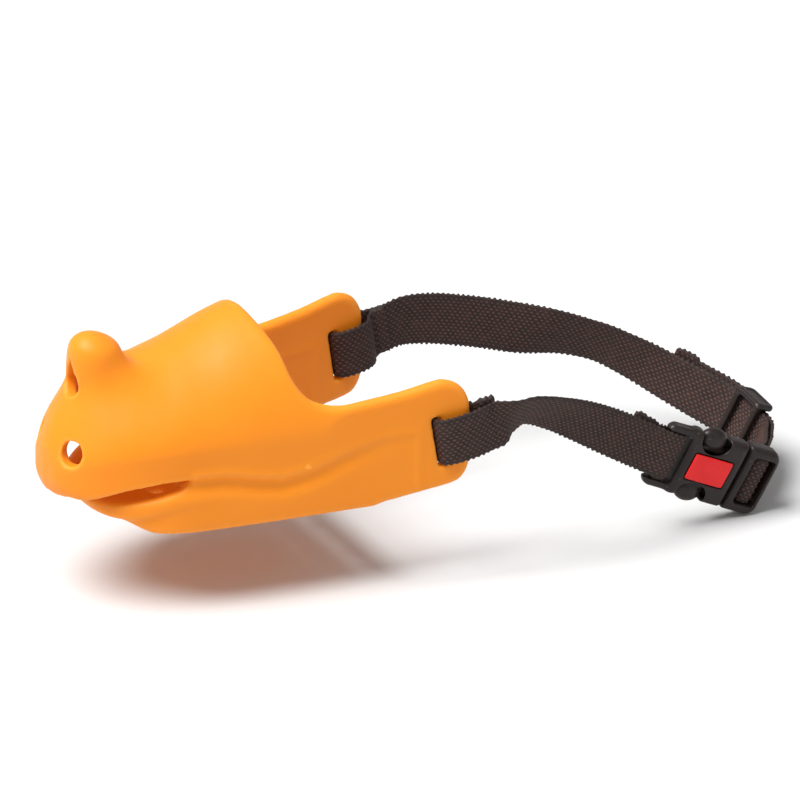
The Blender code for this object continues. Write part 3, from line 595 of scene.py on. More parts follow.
LEFT_RUN = [
    (134.6, -38.4, 22.4, -0.10, -0.42, 0.90), (140.8, -38.2, 23.3, 0.05, -0.59, 0.81),
    (150.6, -37.9, 20.0, 0.34, -0.50, 0.80), (158.5, -37.7, 16.0, 0.40, -0.34, 0.85),
    (165.0, -37.5, 12.2, 0.42, -0.22, 0.88), (170.4, -37.5, 8.9, *BUCKLE_UPRIGHT),
]
# loop round the socket's bar: along, out, across
SOCKET_LOOP = [
    (-10.5, 0.95, -0.9), (-7.2, 1.3, -0.6), (-4.6, 2.0, -0.5), (-2.2, 2.15, -0.5),
    (-0.1, 1.6, -0.5), (0.75, 0.0, -0.5), (-0.1, -1.6, -0.5), (-2.2, -2.15, -0.5),
    (-4.6, -2.0, -0.5), (-7.2, -1.3, -0.6), (-10.5, -0.95, -0.9),
]
RIGHT_RUN = [
    (137.5, 39.5, 22.0, 0.0, 0.10, 0.99), (147.0, 40.3, 20.4, 0.18, 0.24, 0.95),
    (156.4, 40.8, 17.8, 0.2, 0.3, 0.93), (165.7, 41.0, 14.9, 0.2, 0.28, 0.94),
    (174.6, 40.5, 12.0, 0.2, 0.18, 0.96), (188.1, 38.0, 8.7, 0.15, -0.25, 0.95),
    (195.1, 35.5, 6.6, 0.1, -0.36, 0.93), (199.7, 33.0, 5.0, 0.12, -0.38, 0.92),
    (204.4, 29.5, 2.6, 0.18, -0.36, 0.91), (209.2, 25.5, -0.1, 0.25, -0.30, 0.9),
    (214.4, 19.8, -3.3, 0.34, -0.24, 0.9), (219.8, 12.9, -6.5, 0.4, -0.2, 0.89),
]
TO_PLUG = [(224.9, -18.5, -13.9, *BUCKLE_UPRIGHT), (220.2, -26.6, -14.2, *BUCKLE_UPRIGHT)]
# loop round the plug's bar: along, out
PLUG_LOOP = [
    (30.4, -7.0), (27.8, -4.6), (26.5, -2.4), (26.35, -0.6), (26.9, 0.95), (28.1, 1.5),
    (29.5, 1.5), (30.75, 0.9), (31.15, -0.6), (31.15, -2.2), (31.7, -3.9), (33.1, -5.7),
]


def left_path():
    """Wing loop, run to the socket, round its bar and a short way back underneath."""
    path = curve_through(wing_loop(-1) + LEFT_RUN + [buckle_row(-14.5, 0.95, -1.3)], 1.3)
    doubled = path[first_beyond(path, 170.9, after=40) :]
    under = [(*(Vector(row[:3]) - BUCKLE_OUT * 1.9), *row[3:6]) for row in doubled]
    loop = [buckle_row(*place) for place in SOCKET_LOOP]
    return path[:-1] + curve_through([path[-1]] + loop + under[::-1], 1.0)


def right_path():
    """Wing loop, run through the slider, round the plug's bar and back along itself."""
    slider = [slider_row(along) for along in (-8.5, 0, 8.5)]
    loop = [buckle_row(*place) for place in PLUG_LOOP]
    path = curve_through(wing_loop(1) + RIGHT_RUN + slider + TO_PLUG + loop, 1.2)
    turn_at = on_buckle(31.15, 0, -2.2)
    turn = next(
        i for i, row in enumerate(path) if i > 60 and (Vector(row[:3]) - turn_at).length < 0.7
    )
    path = path[:turn]
    near_bar = max(i for i, row in enumerate(path) if row[1] > -21.5)
    back = inner_layer(path, first_beyond(path, 213.6, after=40), near_bar)[::-1]
    turning = [buckle_row(31.15, -2.2), buckle_row(31.9, -4.2), buckle_row(33.6, -6.6)]
    return path + curve_through([path[-1], *turning, back[0]], 1.2)[1:-1] + back


# ---- webbing ----------------------------------------------------------------
class Strap:
    """Woven tape along a path: a lattice that follows the weave, with hems and stitch grooves."""

    def __init__(self, rows):
        rows = np.array(rows, float)
        at = np.concatenate([[0], np.cumsum(chord_lengths(rows))])
        # cubic resampling keeps the bends round
        slopes = np.gradient(rows, at, axis=0)
        length = at[-1]
        self.distance = np.linspace(0, length, int(length / (PITCH / 5)) + 1)
        i = np.clip(np.searchsorted(at, self.distance, side="right") - 1, 0, len(at) - 2)
        span = at[i + 1] - at[i]
        share = ((self.distance - at[i]) / span)[:, None]
        fine = hermite(share, span[:, None], rows[i], slopes[i], rows[i + 1], slopes[i + 1])
        self.middle = fine[:, :3]
        along = np.gradient(self.middle, axis=0)
        self.along = along / np.linalg.norm(along, axis=1)[:, None]
        across = fine[:, 3:6] - (fine[:, 3:6] * self.along).sum(1)[:, None] * self.along
        self.across = across / np.linalg.norm(across, axis=1)[:, None]
        self.out = np.cross(self.along, self.across)
        self.over = np.zeros(len(fine))  # added thickness on the outer face
        self.under = np.zeros(len(fine))
        self.lift = np.zeros(len(fine))  # shift along the width

    def place(self, at):
        """A distance along the tape; a negative one counts from its end."""
        return at if at >= 0 else self.distance[-1] + at

    def hem(self, start, end, over, under, lift, soft=0.7):
        """A folded end: thicker and a little out of line between two distances."""
        start, end = self.place(start), self.place(end)
        inside = logistic((self.distance - start) / soft * 2.5)
        inside *= logistic((end - self.distance) / soft * 2.5)
        self.over += over * inside
        self.under += under * inside
        self.lift += lift * inside

    def groove(self, at, over, under):
        dip = np.exp(-(((self.distance - self.place(at)) / 0.45) ** 2))
        self.over -= over * dip
        self.under -= under * dip

    def rings(self):
        """Points, weave heights and UVs of the closed ring at each distance."""
        column = np.arange(COLUMNS + 1)
        offset = (column - COLUMNS / 2) * ROW / 2
        dist = self.distance[:, None]
        edge = np.sqrt(np.clip(1 - (np.abs(offset) / (WEB / 2 + 0.02)) ** 9, 0, 1))
        ends = np.minimum(dist, self.distance[-1] - dist)
        close = np.sqrt(np.clip(1 - (1 - np.clip(ends / 0.7, 0, 1)) ** 2, 0.02, 1))
        turns = 2 * np.pi * (dist / PITCH + 0.5 * ((column // 2) % 2))
        wander = 0.35 * np.sin(dist * 0.9 + offset * 0.7)
        wander = wander + 0.25 * np.sin(dist * 2.3 - offset * 1.7)
        # the selvedges bulge in and out with the weft
        bite = 0.30 * np.cos(2 * np.pi * self.distance / PITCH)
        bite *= 0.75 + 0.45 * np.sin(self.distance * 0.83) * np.sin(self.distance * 0.31 + 1.0)
        across = np.repeat(offset[None, :], len(dist), axis=0)
        across[:, 0] -= bite + 0.05
        across[:, -1] += -bite + 0.05
        across += self.lift[:, None]
        base = self.middle[:, None, :] + self.across[:, None, :] * across[:, :, None]
        faces, heights = [], []
        for side, extra, phase in ((1, self.over, 0.0), (-1, self.under, np.pi)):
            woven = 0.5 + 0.5 * np.cos(turns + wander + phase)
            height = np.where(column % 2 == 1, woven, 0.12) * edge
            half = ((0.40 + extra)[:, None] * edge + 0.34 * height) * close
            faces.append(base + side * self.out[:, None, :] * half[:, :, None])
            heights.append(height)
        ring = np.concatenate([faces[0], faces[1][:, -2:0:-1]], axis=1)
        height = np.concatenate([heights[0], heights[1][:, -2:0:-1]], axis=1)
        uv_across = np.concatenate([offset, offset[-2:0:-1] + 40])
        return ring, height, np.stack(np.broadcast_arrays(dist, uv_across), axis=2)

    def mesh(self, name, material, part=slice(None)):
        ring, height, uv = (values[part] for values in self.rings())
        rows, around = ring.shape[:2]
        index = np.arange(rows * around).reshape(rows, around)
        here, ahead = index[:-1], index[1:]
        quads = [here, np.roll(here, -1, 1), np.roll(ahead, -1, 1), ahead]
        quads = np.stack(quads, axis=2).reshape(-1, 4)
        # each end is closed by joining its two faces column by column
        column = np.arange(1, COLUMNS - 1)
        low = around - column
        caps = [
            np.stack([line[column], line[column + 1], line[low - 1], line[low]], axis=1)
            for line in (index[0], index[-1])
        ]
        quads = np.concatenate([quads, caps[0][:, ::-1], caps[1]])
        made = add_mesh(name, ring.reshape(-1, 3), quads, material, uv.reshape(-1, 2))
        layer = made.data.attributes.new("weave", "FLOAT", "POINT")
        layer.data.foreach_set("value", height.astype(np.float32).ravel())
        return made


def stitches(name, strap, at, side, material):
    """A line of thread across one face: short floats that dip into the weave at each hole."""
    line_length, count, around, along = 11.4, 9, 8, 7
    i = int(np.argmin(np.abs(strap.distance - strap.place(at))))
    extra = strap.over[i] if side > 0 else strap.under[i]
    points, quads = [], []
    for k in range(count):
        middle = (k - (count - 1) / 2) * line_length / count + strap.lift[i]
        reach = line_length / count * 0.44
        start = len(points)
        for j in range(along):
            share = j / (along - 1) * 2 - 1
            radius = 0.25 * math.sqrt(max(1 - abs(share) ** 3, 0.04))
            height = 0.68 + extra - 0.30 * abs(share) ** 2.5
            centre = strap.middle[i] + strap.across[i] * (middle + share * reach)
            centre = centre + strap.out[i] * side * height
            for c in range(around):
                angle = 2 * math.pi * c / around + share * 1.2
                spoke = strap.along[i] * math.cos(angle) + strap.out[i] * math.sin(angle)
                points.append(centre + spoke * radius)
        for j in range(along - 1):
            here, ahead = start + j * around, start + (j + 1) * around
            for c in range(around):
                d = (c + 1) % around
                quads.append([here + c, here + d, ahead + d, ahead + c])
        for row in (0, along - 1):
            base = start + row * around
            far = base + around
            for c in range(1, 4):
                quads.append([base + c - 1, base + c, far - 1 - c, far - c])
    return add_mesh(name, np.array(points), np.array(quads), material)


# ---- moulded plastic --------------------------------------------------------
def block(cells, along, half, out, corner, ease):
    """A rounded block between two places along and two out, centred across."""
    flat = plate(cells[0] - sum(along) / 2, cells[1], (along[1] - along[0]) / 2, half, corner)
    return soft_max(flat, np.abs(cells[2] - sum(out) / 2) - (out[1] - out[0]) / 2, ease)


def placed_mesh(name, points, quads, frame, material, rounds=4):
    points = relaxed(points, quads, rounds, keep=0.96)
    origin, along, across, out = (np.array(vector) for vector in frame)
    world = origin + points[:, :1] * along + points[:, 1:2] * across + points[:, 2:3] * out
    return add_mesh(name, world, quads, material)


def buckle_mesh(name, field, low, material, step=PLASTIC_STEP, rounds=4):
    points, quads = large_pieces(*surface_net(field.astype(np.float32), low, step))
    return placed_mesh(name, points, quads, BUCKLE_FRAME, material, rounds)


def socket_mesh(material):
    low = (-7.0, -11.6, -4.4)
    cells = along, across, out = grid(low, (23.2, 11.6, 4.4), PLASTIC_STEP)
    crown = 0.28 * (np.abs(across) / HALF_ACROSS) ** 3 + 0.12 * ((along - 12.4) / 9.8) ** 4
    middle = (SOCKET_START + SEAM - SEAM_GAP) / 2
    half = (SEAM - SEAM_GAP - SOCKET_START) / 2
    body = plate(along - middle, across, half, HALF_ACROSS, 1.5)
    body = soft_max(body, np.abs(out) - HALF_OUT + crown, 2.6)
    # strap end: a frame with a slot, an open end and a thinned bar
    web = block(cells, along=(-6.2, 4.8), half=HALF_ACROSS - 0.15, out=(-1.95, 1.95),
                corner=2.6, ease=1.7)
    slot = block(cells, along=(-0.7, 2.7), half=8.1, out=(-6, 6), corner=0.7, ease=0.5)
    web = soft_cut(web, slot, 0.7)
    slot = block(cells, along=(-9, -3.5), half=8.1, out=(-6, 6), corner=0.8, ease=0.5)
    web = soft_cut(web, slot, 0.7)
    thin = np.maximum(plate(along + 2.1, across, 1.75, 8.1, 0.2), 1.15 - np.abs(out))
    web = soft_cut(web, thin, 0.5)
    field = soft_min(body, web, 1.2)
    cavity = block(cells, along=(4.6, 32), half=CAVITY_ACROSS, out=(-CAVITY_OUT, CAVITY_OUT),
                   corner=0.9, ease=0.8)
    field = soft_cut(field, cavity, 0.5)
    for sign in (-1, 1):
        ring_along = (along - WINDOW_AT[0]) / WINDOW_HALF[0]
        ring_across = (across - sign * WINDOW_AT[1]) / WINDOW_HALF[1]
        window = (np.sqrt(ring_along**2 + ring_across**2) - 1) * 4.2
        field = soft_cut(field, window, 0.9)
        side = plate(along - WINDOW_AT[0], across - sign * 11.5, 4.4, 3.5, 0.8)
        field = soft_cut(field, soft_max(side, np.abs(out) - CAVITY_OUT, 0.6), 0.7)
        pocket = plate(along + 1.7, out, 3.3, 1.05, 0.9)
        pocket = soft_max(pocket, (HALF_ACROSS - 0.55) - sign * across, 0.3)
        field = soft_cut(field, pocket, 0.4)
    seat = plate(along - BADGE_AT, across, 7.0, 4.6, 0.7)
    field = soft_cut(field, np.maximum(seat, HALF_OUT - 0.55 - out), 0.35)
    return buckle_mesh("buckle_socket_moulding", field, low, material)


def plug_mesh(material):
    low = (6.4, -11.6, -4.2)
    cells = along, across, out = grid(low, (34.8, 11.6, 4.2), PLASTIC_STEP)
    half = PLUG_END / 2
    far = plate(along - half, across, half, HALF_ACROSS, 3.4)
    near = plate(along - 40, across, 40 - SEAM - SEAM_GAP, HALF_ACROSS, 0.9)
    crown = 0.25 * (np.abs(across) / HALF_ACROSS) ** 3 + 0.25 * rising(along, 26, 8) ** 2
    field = soft_max(np.maximum(far, near), np.abs(out) - 3.35 + crown, 2.2)
    slot = block(cells, along=(25.1, 32.5), half=7.75, out=(-6, 6), corner=1.0, ease=0.5)
    field = soft_cut(field, slot, 1.0)
    bar = block(cells, along=(27.7, 29.8), half=8.6, out=(-1.9, 0.2), corner=0.4, ease=0.8)
    field = soft_min(field, bar, 0.4)
    tongue = block(cells, along=(7.2, 24.0), half=1.5, out=(-1.3, 1.3), corner=0.6, ease=0.6)
    field = soft_min(field, tongue, 0.5)
    return buckle_mesh("buckle_plug_moulding", field, low, material)


# outline of a prong: along, distance from the buckle's middle line
PRONG = [(SEAM - SEAM_GAP, 4.3), (SEAM - SEAM_GAP, 6.5), (15.5, 6.7), (10.6, 7.2), (6.9, 6.3),
         (6.7, 5.2), (14.0, 4.7)]


def prong_mesh(name, sign, material):
    low = (5.0, -12.8 if sign < 0 else 3.4, -3.4)
    high = (22.8, -3.4 if sign < 0 else 12.8, 3.4)
    along, across, out = grid(low, high, PLASTIC_STEP)
    outline = [(place, sign * reach) for place, reach in PRONG]
    flat = polygon_distance(outline, along[:, :, 0], across[0, :, 0][None, :])[:, :, None]
    field = soft_max(flat, np.abs(out) - 1.7, 0.9)
    button_along = (along - WINDOW_AT[0]) / 4.45
    button_across = (across - sign * (WINDOW_AT[1] - 0.1)) / 3.55
    button = (np.sqrt(button_along**2 + button_across**2 + (out / 2.6) ** 2) - 1) * 3.0
    field = soft_min(field, button, 0.5)
    if sign > 0:
        dent = (along - 13.9) ** 2 + (across - sign * 9.4) ** 2 + (out - 2.4) ** 2
        field = soft_cut(field, np.sqrt(dent) - 1.15, 0.3)
    return buckle_mesh(name, field, low, material, rounds=3)


def badge_mesh(material):
    low = (4.5, -5.0, 2.9)
    along, across, out = grid(low, (19.2, 5.0, 4.6), BADGE_STEP)
    half_along, half_across = BADGE_HALF
    dome_drop = 0.22 * ((along - BADGE_AT) / half_along) ** 4 + 0.22 * (across / half_across) ** 4
    flat = plate(along - BADGE_AT, across, half_along, half_across, 0.6)
    field = soft_max(flat, out - (HALF_OUT + 0.42) + dome_drop, 0.45)
    field = np.maximum(field, HALF_OUT - 0.3 - out)
    return buckle_mesh("badge_label", field, low, material, step=BADGE_STEP, rounds=3)


# crossbars of the slider: centre along, centre out, half length, half thickness
SLIDER_BARS = [(-4.85, 1.7, 0.95, 0.7), (0.0, -3.32, 1.0, 0.68), (4.85, 1.7, 0.95, 0.7)]


def slider_mesh(material):
    low = (-6.8, -10.8, -5.0)
    along, across, out = grid(low, (6.8, 10.8, 3.4), PLASTIC_STEP)
    rails = []
    for sign in (-1, 1):
        rail = plate(along, out + 0.8, 6.0, 3.4, 1.9)
        rail = soft_max(rail, np.abs(across - sign * 8.9) - 1.0, 1.1)
        dent = soft_max(plate(along, out + 0.8, 4.3, 1.9, 1.2), 9.6 - sign * across, 0.3)
        rails.append(soft_cut(rail, dent, 0.4))
    field = np.minimum(*rails)
    for bar_along, bar_out, half_along, half_out in SLIDER_BARS:
        bar = plate(along - bar_along, out - bar_out, half_along, half_out, 0.5)
        field = soft_min(field, soft_max(bar, np.abs(across) - 8.6, 0.2), 0.9)
    points, quads = surface_net(field.astype(np.float32), low, PLASTIC_STEP)
    return placed_mesh("three_bar_slider", points, quads, SLIDER_FRAME, material)


# ---- materials --------------------------------------------------------------
class Finish:
    """A material whose principled shader is fed by small chains of nodes."""

    def __init__(self, name):
        self.made = bpy.data.materials.new(name)
        self.made.use_nodes = True
        self.tree = self.made.node_tree
        self.shader = self.tree.nodes["Principled BSDF"]

    @cached_property
    def object_space(self):
        return self.node("TexCoord").outputs["Object"]

    def node(self, kind, **values):
        made = self.tree.nodes.new("ShaderNode" + kind)
        for key, value in values.items():
            setattr(made, key, value)
        return made

    def link(self, out, into):
        self.tree.links.new(out, into)

    def set(self, **values):
        for key, value in values.items():
            self.shader.inputs[key.replace("_", " ")].default_value = value

    def noise(self, scale, detail=3.0, vector=None):
        made = self.node("TexNoise")
        made.inputs["Scale"].default_value = scale
        made.inputs["Detail"].default_value = detail
        self.link(vector or self.object_space, made.inputs["Vector"])
        return made.outputs["Fac"]

    def ramp(self, value, *stops):
        """Colours at positions: each stop is (position, colour)."""
        made = self.node("ValToRGB")
        elements = made.color_ramp.elements
        while len(elements) < len(stops):
            elements.new(0.5)
        for element, (at, colour) in zip(elements, stops):
            element.position = at
            element.color = (*colour, 1.0)
        self.link(value, made.inputs["Fac"])
        return made.outputs["Color"]

    def edges(self, start, end):
        """0 on flat parts to 1 on sharp edges, between two values of pointiness."""
        point = self.node("NewGeometry").outputs["Pointiness"]
        return self.ramp(point, (start, (0, 0, 0)), (end, (1, 1, 1)))

    def span(self, value, start, end, low=0.3, high=0.7):
        """Maps low..high of a value to start..end."""
        made = self.node("MapRange")
        for key, number in zip(("From Min", "From Max", "To Min", "To Max"),
                               (low, high, start, end)):
            made.inputs[key].default_value = number
        self.link(value, made.inputs["Value"])
        return made.outputs["Result"]

    def mix(self, share, base, colour):
        made = self.node("Mix", data_type="RGBA")
        self.link(share, made.inputs["Factor"])
        first, second = [socket for socket in made.inputs if socket.type == "RGBA"]
        self.link(base, first)
        second.default_value = (*colour, 1.0)
        return next(socket for socket in made.outputs if socket.type == "RGBA")

    def multiply(self, value, factor):
        made = self.node("Math", operation="MULTIPLY")
        self.link(value, made.inputs[0])
        if isinstance(factor, float):
            made.inputs[1].default_value = factor
        else:
            self.link(factor, made.inputs[1])
        return made.outputs[0]

    def bump(self, height, strength, distance, normal=None):
        made = self.node("Bump")
        made.inputs["Strength"].default_value = strength
        made.inputs["Distance"].default_value = distance
        self.link(height, made.inputs["Height"])
        if normal is not None:
            self.link(normal, made.inputs["Normal"])
        return made.outputs["Normal"]

    def colour(self, out):
        self.link(out, self.shader.inputs["Base Color"])

    def rough(self, value, start, end):
        self.link(self.span(value, start, end), self.shader.inputs["Roughness"])

    def normal(self, out):
        self.link(out, self.shader.inputs["Normal"])


def silicone_finish():
    f = Finish("moulded_silicone")
    cloudy = f.ramp(f.noise(scale=22.0, detail=4.0), (0.3, SILICONE_DARK), (0.7, SILICONE_LIGHT))
    # sharp edges of the moulding made lighter: partly rubbed wear, partly a painted highlight
    edge = f.edges(start=0.505, end=0.56)
    f.colour(f.mix(f.multiply(edge, factor=0.35), cloudy, SILICONE_EDGE_WEAR_AND_HIGHLIGHT))
    f.rough(f.noise(scale=160.0, detail=5.0), start=0.40, end=0.54)
    skin = f.bump(f.noise(scale=2600.0, detail=2.0), strength=0.10, distance=0.00006)
    f.normal(f.bump(f.noise(scale=90.0), strength=0.06, distance=0.0006, normal=skin))
    f.set(Subsurface_Weight=0.16, Subsurface_Radius=(1.0, 0.42, 0.10), Subsurface_Scale=0.004,
          IOR=1.42, Specular_IOR_Level=0.32)
    f.set(Sheen_Weight=0.03, Sheen_Roughness=0.55, Sheen_Tint=(1.0, 0.86, 0.62, 1.0))
    # painted glow: an even orange emission over the whole shell lightens its shaded sides and
    # insides, standing in for light that comes through the thin wall
    f.set(Emission_Color=(1.0, 0.24, 0.006, 1.0), Emission_Strength=0.10)
    return f.made


def webbing_finish():
    f = Finish("woven_polyester")
    height = f.node("Attribute", attribute_name="weave").outputs["Fac"]
    # painted shade and light: the gaps of the weave are near black and the tops of its floats light,
    # on top of their relief
    painted_shade_tone = f.ramp(height, (0.18, (0.004, 0.0015, 0.0011)), (0.55, (0.050, 0.018, 0.012)),
                  (1.0, (0.245, 0.100, 0.068)))
    uv = f.node("UVMap", uv_map="strap").outputs["UV"]
    stretch = f.node("Mapping")
    stretch.inputs["Scale"].default_value = (2.2, 16.0, 1.0)
    f.link(uv, stretch.inputs["Vector"])
    strand = f.noise(scale=1.0, detail=4.0, vector=stretch.outputs["Vector"])
    dark = f.span(strand, start=0.0, end=0.40, low=0.35)
    painted_shade_tone = f.mix(dark, painted_shade_tone, (0.026, 0.010, 0.007))
    patchy = f.noise(scale=0.35, vector=uv)
    faded = f.span(patchy, start=0.0, end=0.25, low=0.4)
    f.colour(f.mix(faded, painted_shade_tone, (0.075, 0.032, 0.023)))
    f.rough(strand, start=0.62, end=0.86)
    f.normal(f.bump(strand, strength=0.5, distance=0.00012))
    f.set(Sheen_Weight=0.03, Sheen_Roughness=0.45, Sheen_Tint=(0.75, 0.6, 0.55, 1.0))
    return f.made


def thread_finish():
    f = Finish("sewing_thread")
    wave = f.node("TexWave", wave_type="BANDS", bands_direction="DIAGONAL")
    wave.inputs["Scale"].default_value = 900.0
    wave.inputs["Distortion"].default_value = 1.0
    f.link(f.object_space, wave.inputs["Vector"])
    twist = wave.outputs["Fac"]
    # painted shade and light: darker in the grooves of the twist, lighter on the plies
    f.colour(f.ramp(twist, (0.2, (0.018, 0.009, 0.007)), (0.8, (0.085, 0.052, 0.045))))
    f.rough(f.noise(scale=900.0), start=0.5, end=0.75)
    f.normal(f.bump(twist, strength=0.5, distance=0.00008))
    return f.made


def plastic_finish(name, dark, light, scale):
    f = Finish(name)
    base = f.ramp(f.noise(scale, detail=4.0), (0.3, dark), (0.7, light))
    # sharp edges lighter in patches: partly rubbed wear, partly a painted highlight
    worn_and_highlit_edges = f.edges(start=0.52, end=0.60)
    scuff_and_glint_patches = f.span(f.noise(scale=420.0, detail=6.0), start=0.25, end=1.0, low=0.4)
    share = f.multiply(f.multiply(worn_and_highlit_edges, scuff_and_glint_patches), factor=0.55)
    f.colour(f.mix(share, base, (0.085, 0.076, 0.072)))
    f.rough(f.noise(scale=700.0, detail=5.0), start=0.30, end=0.46)
    grain = f.bump(f.noise(scale=3400.0, detail=2.0), strength=0.16, distance=0.00005)
    f.normal(f.bump(f.noise(scale=240.0), strength=0.05, distance=0.0003, normal=grain))
    f.set(IOR=1.46, Specular_IOR_Level=0.32)
    return f.made


def badge_finish():
    f = Finish("domed_label")
    base = f.ramp(f.noise(scale=130.0), (0.3, (0.66, 0.008, 0.010)), (0.7, (0.78, 0.014, 0.015)))
    speckle = f.span(f.noise(scale=2200.0, detail=2.0), start=0.0, end=0.25)
    f.colour(f.mix(speckle, base, (0.84, 0.035, 0.035)))
    f.rough(f.noise(scale=500.0, detail=4.0), start=0.26, end=0.38)
    f.normal(f.bump(f.noise(scale=1500.0, detail=2.0), strength=0.04, distance=0.00004))
    f.set(Specular_IOR_Level=0.25)
    return f.made


# ---- the object -------------------------------------------------------------
silicone = silicone_finish()
weave = webbing_finish()
thread = thread_finish()
housing = plastic_finish(
    "moulded_acetal_housing", dark=(0.013, 0.0084, 0.0072), light=(0.020, 0.0134, 0.0116), scale=60.0
)
plug_plastic = plastic_finish(
    "moulded_acetal_plug", dark=(0.014, 0.0092, 0.0079), light=(0.021, 0.0142, 0.0124), scale=75.0
)
label = badge_finish()

shell = silicone_shell(silicone)
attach(shell, "muzzle")
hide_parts("muzzle_shell")


def wing_seam(tape):
    return tape.distance[first_beyond(tape.middle, WING_SEAM_X, after=60)]


left_tape = Strap(left_path())
LEFT_HEM_SEAM = 2.25
left_wing_seam = wing_seam(left_tape)
seam_place = on_buckle(-14.0, -1.3, 0.95)
nearest_row = int(np.argmin([(Vector(row) - seam_place).length for row in left_tape.middle]))
buckle_seam = left_tape.distance[nearest_row]
left_tape.hem(0, 5.6, over=0.30, under=0.55, lift=1.4)
left_tape.groove(LEFT_HEM_SEAM, over=0.30, under=0.35)
left_tape.groove(left_wing_seam, over=0.22, under=0.0)
left_tape.hem(-8.0, -0.01, over=0.05, under=0.05, lift=0.9, soft=1.2)
left_tape.hem(-3.6, -0.01, over=0.10, under=0.25, lift=0.5)
left_tape.groove(buckle_seam, over=0.22, under=0.0)
strap_left = left_tape.mesh("left_neck_strap", weave)
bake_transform(strap_left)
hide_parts("left_strap_wing_loop", "left_strap_buckle_loop")

right_tape = Strap(right_path())
RIGHT_HEM_SEAM, TAIL_SEAM = 4.2, -5.2
right_wing_seam = wing_seam(right_tape)
right_tape.hem(0, 4.5, over=0.85, under=0.85, lift=0.7, soft=0.4)
right_tape.groove(RIGHT_HEM_SEAM, over=0.30, under=0.30)
right_tape.groove(right_wing_seam, over=0.0, under=0.2)
right_tape.hem(-34.0, -0.01, over=0.0, under=0.0, lift=1.2, soft=3.0)
right_tape.hem(-7.6, -0.01, over=0.70, under=0.0, lift=1.0)
right_tape.groove(TAIL_SEAM, over=0.35, under=0.0)
split = first_beyond(right_tape.middle, 174.0, after=60)
strap_front = right_tape.mesh("right_neck_strap", weave, slice(0, split + 1))
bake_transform(strap_front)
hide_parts("right_strap_wing_loop")
strap_rear = right_tape.mesh("right_adjustable_strap", weave, slice(split, None))
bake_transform(strap_rear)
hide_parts("right_strap_middle", "right_strap_adjustable_end")

# name, tape, distance along it, face, body, CAD piece it replaces
for name, tape, at, side, body, piece in (
    ("left_wing_seam", left_tape, left_wing_seam, 1, "left_strap", "left_wing_stitching"),
    ("left_buckle_seam", left_tape, buckle_seam, 1, "socket", "left_buckle_stitching"),
    ("right_wing_seam", right_tape, right_wing_seam, -1, "right_strap", "right_wing_stitching"),
    ("tail_seam", right_tape, TAIL_SEAM, 1, "plug", "tail_hem_stitching"),
    ("left_wing_seam_inside", left_tape, LEFT_HEM_SEAM, -1, "left_strap", None),
    ("right_wing_seam_inside", right_tape, RIGHT_HEM_SEAM, 1, "right_strap", None),
):
    seam = stitches(name, tape, at, side, thread)
    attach(seam, body)
    if piece:
        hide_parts(piece)

prong_upper = ("prong_upper_button", -1, plug_plastic)
prong_lower = ("prong_lower_button", 1, plug_plastic)
for made, body, piece, slot in (
    (socket_mesh(housing), "socket", "buckle_socket", "housing_plastic"),
    (badge_mesh(label), "socket", "buckle_badge", "badge"),
    (plug_mesh(plug_plastic), "plug", "buckle_plug", "plug_plastic"),
    (prong_mesh(*prong_upper), "prong_upper", "plug_prong_upper", "plug_plastic"),
    (prong_mesh(*prong_lower), "prong_lower", "plug_prong_lower", "plug_plastic"),
    (slider_mesh(housing), "slider", "strap_slider", "housing_plastic"),
):
    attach(made, body)
    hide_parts(piece)

# ---- floor, light and camera, in metres -------------------------------------
low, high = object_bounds()
centre = (low + high) / 2


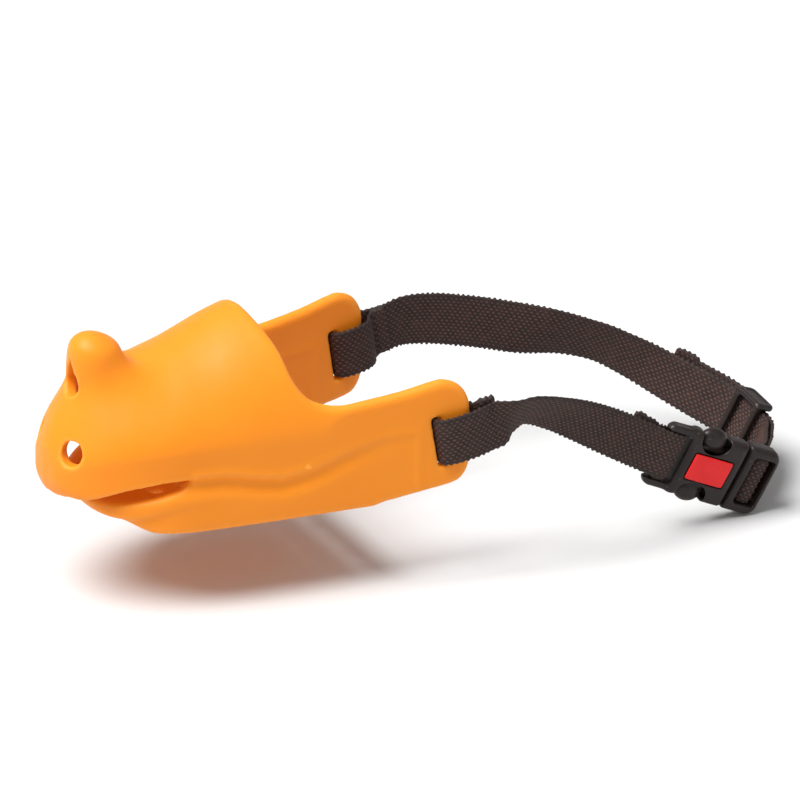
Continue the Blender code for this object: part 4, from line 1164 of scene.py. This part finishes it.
def plain_floor():
    half, z = 6.0, low.z - 0.0004
    corners = [
        (centre.x + i * half, centre.y + j * half, z) for i, j in ((-1, -1), (1, -1), (1, 1), (-1, 1))
    ]
    mesh = bpy.data.meshes.new("studio_floor")
    mesh.from_pydata(corners, [], [(0, 1, 2, 3)])
    floor = bpy.data.objects.new("studio_floor", mesh)
    bpy.context.scene.collection.objects.link(floor)
    f = Finish("pale_floor")
    f.colour(f.ramp(f.noise(scale=3.0, detail=2.0), (0.3, (0.64,) * 3), (0.7, (0.65,) * 3)))
    f.set(Roughness=0.9, Specular_IOR_Level=0.1)
    mesh.materials.append(f.made)


def area_light(name, offset, size, power):
    """A round light at an offset from the object's centre, facing it."""
    data = bpy.data.lights.new(name, "AREA")
    data.shape, data.size, data.energy = "DISK", size, power
    light = bpy.data.objects.new(name, data)
    light.location = centre + Vector(offset)
    light.rotation_mode = "QUATERNION"
    light.rotation_quaternion = Vector(offset).to_track_quat("Z", "Y")
    bpy.context.scene.collection.objects.link(light)


plain_floor()
area_light("key", offset=(-1.45, -0.12, 2.70), size=2.10, power=KEY_POWER)
area_light("fill", offset=(1.00, -1.90, 0.80), size=1.20, power=FILL_POWER)
scene = bpy.context.scene
world = bpy.data.worlds.new("studio")
world.use_nodes = True
background = world.node_tree.nodes["Background"]
background.inputs["Color"].default_value = (1, 1, 1, 1)
background.inputs["Strength"].default_value = WORLD_STRENGTH
scene.world = world
scene.view_settings.view_transform = "Standard"
scene.view_settings.look = "None"

AZIMUTH, ELEVATION = math.radians(26.2), math.radians(24.0)
# the camera's place in its own directions, in millimetres from the tip of the nose
CAMERA_RIGHT, CAMERA_UP, CAMERA_BACK = 104.68, 35.59, 10419.5
RIGHTWARD = Vector((math.cos(AZIMUTH), -math.sin(AZIMUTH), 0))
BACK = Vector((-math.sin(AZIMUTH) * math.cos(ELEVATION),
               -math.cos(AZIMUTH) * math.cos(ELEVATION), math.sin(ELEVATION)))
UPWARD = BACK.cross(RIGHTWARD)
camera = bpy.data.objects.new("camera", bpy.data.cameras.new("camera"))
camera.data.lens, camera.data.sensor_width = 1600.0, 36.0
camera.data.clip_start, camera.data.clip_end = 5.0, 60.0
camera_at = RIGHTWARD * CAMERA_RIGHT + UPWARD * CAMERA_UP + BACK * CAMERA_BACK
camera.location = (camera_at - Vector((ORIGIN_X, 0, 0))) * MM
camera.rotation_mode = "QUATERNION"
camera.rotation_quaternion = BACK.to_track_quat("Z", "Y")
scene.collection.objects.link(camera)
scene.camera = camera
